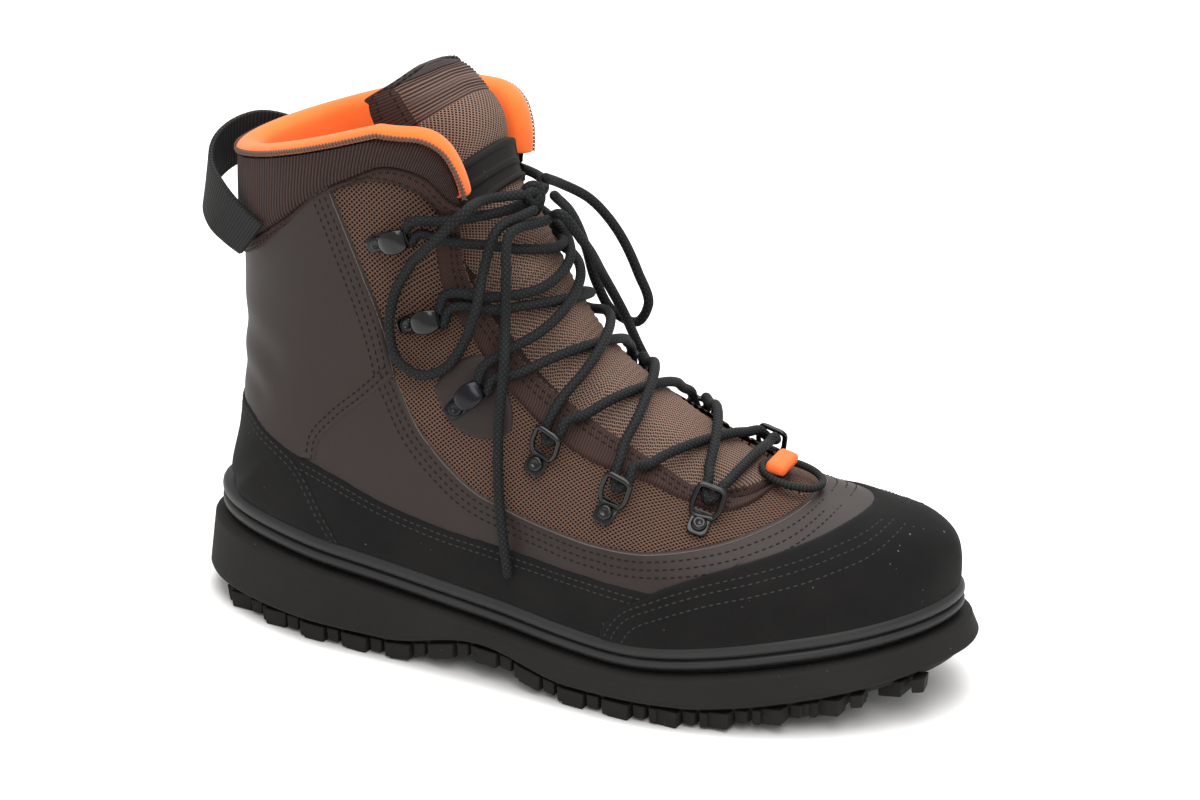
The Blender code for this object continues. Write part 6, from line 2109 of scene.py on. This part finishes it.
@dataclass
class Hooks:
    """The hooks, lace rings and rivets along both sides of the throat."""

    plate: float = 0.0013
    width: float = 0.0076
    wire: float = 0.0011
    wire_sides: int = 12
    ring_plate: float = 0.0084

    def hook(self) -> Pair:
        """A strip bent back over the lace.

        Returns:
            Points and faces, with the rivet at the origin and the throat towards local X.
        """
        path = through(((-0.0048, 0, 0.0010), (0.0, 0, 0.0010), (0.0060, 0, 0.0011), (0.0108, 0, 0.0018),
                        (0.0142, 0, 0.0034), (0.0150, 0, 0.0054), (0.0134, 0, 0.0073), (0.0100, 0, 0.0080),
                        (0.0062, 0, 0.0076), (0.0030, 0, 0.0062)), 0.0006)
        run = np.linspace(0, 1, len(path))
        waist = 1 - 0.15 * np.exp(-((run - 0.50) / 0.13) ** 2)
        wide = self.width * (0.55 + 0.45 * round_end(run, 0.22)) * waist
        wide = wide * (0.25 + 0.75 * round_end(1 - run, 0.30)) * (1 + 0.35 * ease((run - 0.6) / 0.25))
        thick = self.plate * (1 + 1.2 * ease((run - 0.62) / 0.2) * round_end(1 - run, 0.2))
        normal = np.cross(unit(np.gradient(path, axis=0)), (0.0, 1.0, 0.0))
        return strip(path, wide, thick, normal, 0.8)

    def ring(self) -> Pair:
        """A rivet plate with a wire ring that rises to the throat.

        Returns:
            Points and faces, with the rivet at the origin and the throat towards local X.
        """
        corners = ((0.0040, -0.0040), (0.0040, 0.0040), (0.0062, 0.0052), (0.0100, 0.0054), (0.0132, 0.0048),
                   (0.0138, 0.0), (0.0132, -0.0048), (0.0100, -0.0054), (0.0062, -0.0052), (0.0040, -0.0040))
        path = through([(x, y, 0.0014 + 0.58 * max(x - 0.0040, 0)) for x, y in corners], 0.0006)
        rings = tube_grid(path[:-1], self.wire, self.wire_sides)
        rings = np.concatenate([rings, rings[:1]])
        wire, faces = rings.reshape(-1, 3), grid_faces(len(rings), self.wire_sides, closed=True)
        path = through(((-0.0046, 0, 0.0009), (0.0, 0, 0.0009), (0.0042, 0, 0.0011), (0.0052, 0, 0.0024)),
                       0.0006)
        wide = self.ring_plate * (0.5 + 0.5 * round_end(np.linspace(0, 1, len(path)), 0.3))
        up = np.array((0.0, 0.0, 1.0)) + 0 * path
        more, fill = strip(path, wide, self.plate + 0 * wide, up, 0.35)
        return np.concatenate([wire, more]), np.concatenate([faces, fill + len(wire)])

    def rivet(self) -> Pair:
        """A domed rivet with a dimple."""
        return lathe([(0.0001, 0.0026), (0.0008, 0.0025), (0.0012, 0.0030), (0.0019, 0.0032),
                      (0.0026, 0.0029), (0.0031, 0.0022), (0.0032, 0.0014), (0.0030, 0.0012)])

    def build(self) -> None:
        """Place a hook or ring and a rivet at every row of HOOKS."""
        shapes = {"hook": self.hook(), "ring": self.ring()}
        rivet = self.rivet()
        for side, word in SIDES:
            for number, row in enumerate(HOOKS, 1):
                point, toward, across, normal = last_frame(row.place, side, hook_distance(row, side))
                axes = np.stack([toward, across, normal])
                name = f"{row.kind}_{word}_{number}"
                finish = GUNMETAL if number == LOWEST_HOOK else BLACK_STEEL
                made = ((f"lace_{name}", shapes[row.kind], name),
                        (f"dome_{word}_{number}", rivet, f"rivet_{word}_{number}"))
                for label, (verts, faces), node in made:
                    placed = point + normal * FIT + verts @ axes
                    if np.linalg.det(axes) < 0:
                        faces = faces[:, ::-1]
                    piece(label, mesh_of(label, placed, faces), finish, (node,))


@dataclass
class Laces:
    """The lace: two runs that cross between the hooks, a knot, two loops and two ends."""

    radius: float = 0.5 * LACE_DIAMETER
    step: float = 0.0016
    strand_gap: float = 0.0028
    strand_spread: float = 0.0040

    def seat(self, number: int, side: int) -> list:
        """The lace's way round one hook, from its lower strand to its upper one.

        Args:
            number: the hook's row in HOOKS.
            side: LATERAL or MEDIAL.

        Returns:
            Three points.
        """
        row = HOOKS[number]
        point, toward, across, normal = last_frame(row.place, side, hook_distance(row, side))
        ahead = at_distance(row.place + AHEAD, side, hook_distance(row, side)) - point
        up = across if across @ ahead > 0 else -across
        reach, height = (0.0112, 0.0046) if row.kind == "hook" else (0.0100, 0.0042)
        return [point + toward * (reach + self.strand_spread * abs(s)) + up * self.strand_gap * s
                + normal * height for s in (-1.0, 0.0, 1.0)]

    def crossing(self, number: int, rising: int, over: float) -> Array:
        """The way between two neighbouring hooks over the tongue.

        Args:
            number: the lower hook's row in HOOKS.
            rising: the side of the lower hook.
            over: how much higher the lace lies half way.

        Returns:
            The points.
        """
        middle = 0.5 * (HOOKS[number].place + HOOKS[number + 1].place)
        ends = lace_stop(number, rising, True), lace_stop(number + 1, -rising, False)
        return np.array(laced(*ends, middle, outward_at(LACE_TILTS[number + 1]), over))

    def run(self, first: int) -> list:
        """One lace from the bar at the foot to its top hook, and on to the knot.

        Args:
            first: the side of its lowest ring.

        Returns:
            The points.
        """
        ends = [lace_stop(0, side, False) for side in (LATERAL, MEDIAL)]
        foot = laced(*ends, HOOKS[0].place, outward_at(LACE_TILTS[0]))
        half = foot[:len(foot) // 2 + 1][::-1] if first == LATERAL else foot[len(foot) // 2:]
        route, side = list(half), first
        for number in range(len(HOOKS)):
            route += self.seat(number, side)
            if number < len(HOOKS) - 1:
                route += list(self.crossing(number, side, LACE_OVER if side == LATERAL else 0.0))
                side = -side
        last = len(HOOKS) - 1
        ends = [lace_stop(last, s, True, TOP_LIFT) for s in (LATERAL, MEDIAL)]
        top = laced(*ends, TOP_MIDDLE, outward_at(LACE_TILTS[-1]), TOP_LIFT - LACE_LIFT + LACE_SAG)
        half = top[:len(top) // 2] if side == LATERAL else top[len(top) // 2 + 1:][::-1]
        return route + list(half) + [np.array(lace_place(KNOT))]

    def build(self) -> None:
        crosses = tuple(f"lace_cross_{k}" for k in range(1, len(HOOKS)))
        nodes = {LATERAL: ("lace_bar", "lace_top_lateral", *crosses[::2]),
                 MEDIAL: ("lace_top_medial", *crosses[1::2])}
        for side, word in SIDES:
            name = "lace_run_" + word
            mesh = lace_mesh(name, through(self.run(side), self.step), self.radius)
            piece(name, mesh, BRAIDED, nodes[side])
        knot = self.knot()
        for name, rows in FREE_LACES.items():
            path = through([lace_place(row) for row in rows], self.step)
            label = name.replace("lace_", "free_")
            obj = piece(label, lace_mesh(label, path, self.radius), BRAIDED, (name,))

    def knot(self) -> Object:
        """The bow's knot: a wrapped round of lace over two crossing turns.

        Returns:
            The piece.
        """
        t = np.linspace(0, 2 * np.pi, 90)
        centre = np.array(lace_place(KNOT))
        x = 0.0014 * np.cos(3 * t) + 0.0012
        y = 0.0020 * np.sin(t) + 0.0036 * np.sin(2 * t)
        z = 0.0020 * np.cos(t) - 0.0034 * np.cos(2 * t)
        turn = centre + np.stack([x, y, z], -1)
        band = centre + np.stack([0.0032 * np.cos(t), 0.0012 * np.sin(2 * t), 0.0052 * np.sin(t)], -1)
        parts = [lace_mesh("knot_turn", turn, self.radius), lace_mesh("knot_band", band, self.radius)]
        work = bmesh.new()
        for part in parts:
            work.from_mesh(part)
        mesh = bpy.data.meshes.new("knot")
        work.to_mesh(mesh)
        work.free()
        return piece("knot", mesh, BRAIDED, ("lace_knot",))


@dataclass
class Keeper:
    """The ring at the foot of the lacing and its orange bar."""

    length: float = 0.0240
    width: float = 0.0200
    wire: float = 0.0030
    place: float = 6.85
    lift: float = 0.0042
    shift: float = 0.0052
    raised: float = 0.0032
    bar: tuple = (0.0084, 0.0165, 0.0052)
    bar_edge: float = 0.0022
    wire_sides: int = 14

    def build(self) -> None:
        """Make the ring and the bar."""
        base = last_point(self.place, 1.0, LATERAL)
        ahead = last_point(self.place - 0.3, 1.0, LATERAL)
        forward = (ahead - base) / np.linalg.norm(ahead - base)
        across = np.array([0.0, 1.0, 0.0])
        normal = np.cross(forward, across)
        centre = base + normal * self.lift
        t = np.linspace(0, 2 * np.pi, 73)
        path = (centre + 0.5 * self.length * np.cos(t)[:, None] * forward
                + 0.5 * self.width * np.sin(t)[:, None] * across)
        rings = tube_grid(path[:-1], 0.5 * self.wire, self.wire_sides)
        rings = np.concatenate([rings, rings[:1]])
        faces = grid_faces(len(rings), self.wire_sides, closed=True)
        mesh = mesh_of("keeper_ring", rings.reshape(-1, 3), faces, grid_cloth(rings, closed=True))
        piece("keeper_ring", mesh, WEBBING, ("lace_keeper_ring",))
        work = bmesh.new()
        bmesh.ops.create_cube(work, size=1.0)
        bmesh.ops.scale(work, vec=self.bar, verts=work.verts)
        bmesh.ops.bevel(work, geom=work.edges[:], offset=self.bar_edge, segments=5, profile=0.5,
                        affect="EDGES")
        axes = Matrix((forward, across, normal)).transposed().to_4x4()
        middle = Vector(centre - forward * self.shift + normal * self.raised + ORIGIN)
        bmesh.ops.transform(work, matrix=Matrix.Translation(middle) @ axes, verts=work.verts)
        bar = bpy.data.meshes.new("keeper_bar")
        work.to_mesh(bar)
        work.free()
        bar.polygons.foreach_set("use_smooth", [True] * len(bar.polygons))
        piece("keeper_bar", bar, ORANGE_BAR, ("lace_keeper_tab",))


@dataclass
class Studio:
    """The floor, the soft light and the camera at the photograph's angle."""

    azimuth: float = 22.7
    elevation: float = 23.0
    distance: float = 1.97
    focal: float = 5030.0
    target: tuple = (0.0, 0.004411, 0.0775)
    shift: tuple = (20.0, 57.0)
    frame_width: float = 1200.0
    sensor: float = 36.0
    floor_z: float = -0.0002
    floor_reach: float = 3.0
    sky: float = 0.78
    # Name, place, side in metres and power in watts.
    lamps: tuple = (("top", (0.1, -0.1, 1.7), 1.5, 30.0), ("key", (0.7, -1.2, 1.4), 1.0, 12.0),
                    ("back", (-0.3, 1.5, 1.3), 1.2, 12.0))

    def build(self) -> None:
        """Make the stage."""
        az, el = math.radians(self.azimuth), math.radians(self.elevation)
        back = Vector((math.sin(az) * math.cos(el), -math.cos(az) * math.cos(el), math.sin(el)))
        lens = bpy.data.cameras.new("camera")
        lens.sensor_width = self.sensor
        lens.lens = self.focal / self.frame_width * self.sensor
        lens.shift_x, lens.shift_y = (s / self.frame_width for s in self.shift)
        lens.clip_end = 20.0
        camera = bpy.data.objects.new("camera", lens)
        camera.location = Vector(self.target) + back * self.distance
        camera.rotation_euler = back.to_track_quat("Z", "Y").to_euler()
        bpy.context.scene.collection.objects.link(camera)
        bpy.context.scene.camera = camera
        floor = bpy.data.meshes.new("floor")
        reach = self.floor_reach
        corners = [(reach * x, reach * y, self.floor_z) for x, y in ((-1, -1), (1, -1), (1, 1), (-1, 1))]
        floor.from_pydata(corners, [], [(0, 1, 2, 3)])
        plane = bpy.data.objects.new("floor", floor)
        bpy.context.scene.collection.objects.link(plane)
        pale = bpy.data.materials.new("Pale painted board")
        pale.use_nodes = True
        shader = pale.node_tree.nodes["Principled BSDF"]
        shader.inputs["Base Color"].default_value = linear("#f6f5f3")
        shader.inputs["Roughness"].default_value = 0.9
        floor.materials.append(pale)
        world = bpy.data.worlds.new("studio")
        world.use_nodes = True
        sky = world.node_tree.nodes["Background"]
        sky.inputs["Color"].default_value = linear("#ffffff")
        sky.inputs["Strength"].default_value = self.sky
        bpy.context.scene.world = world
        bpy.context.scene.view_settings.view_transform = "Standard"
        for lamp in self.lamps:
            self.lamp(*lamp)

    def lamp(self, name: str, place: tuple, size: float, power: float) -> None:
        """A square soft light that looks at the boot.

        Args:
            name: the light's name.
            place: where it stands.
            size: its side in metres.
            power: its power in watts.
        """
        light = bpy.data.lights.new(name, "AREA")
        light.size = size
        light.energy = power
        obj = bpy.data.objects.new(name, light)
        obj.location = place
        obj.rotation_euler = (Vector(place) - Vector((0, 0, 0.1))).to_track_quat("Z", "Y").to_euler()
        bpy.context.scene.collection.objects.link(obj)


def main() -> None:
    """Build the stage and every sub-assembly in order."""
    Studio().build()
    threads = Threads()
    Laces().build()
    Sole().build()
    Upper(Shell(), threads).build()
    Tongue(threads).build()
    Collar(threads).build()
    Hooks().build()
    Keeper().build()
    threads.build({"leather_stitches": BLACK_THREAD, "nubuck_stitches": GREY_THREAD,
                   "binding_stitches": BLACK_THREAD, "edge_stitches": BROWN_THREAD})


if __name__ == "__main__":
    main()
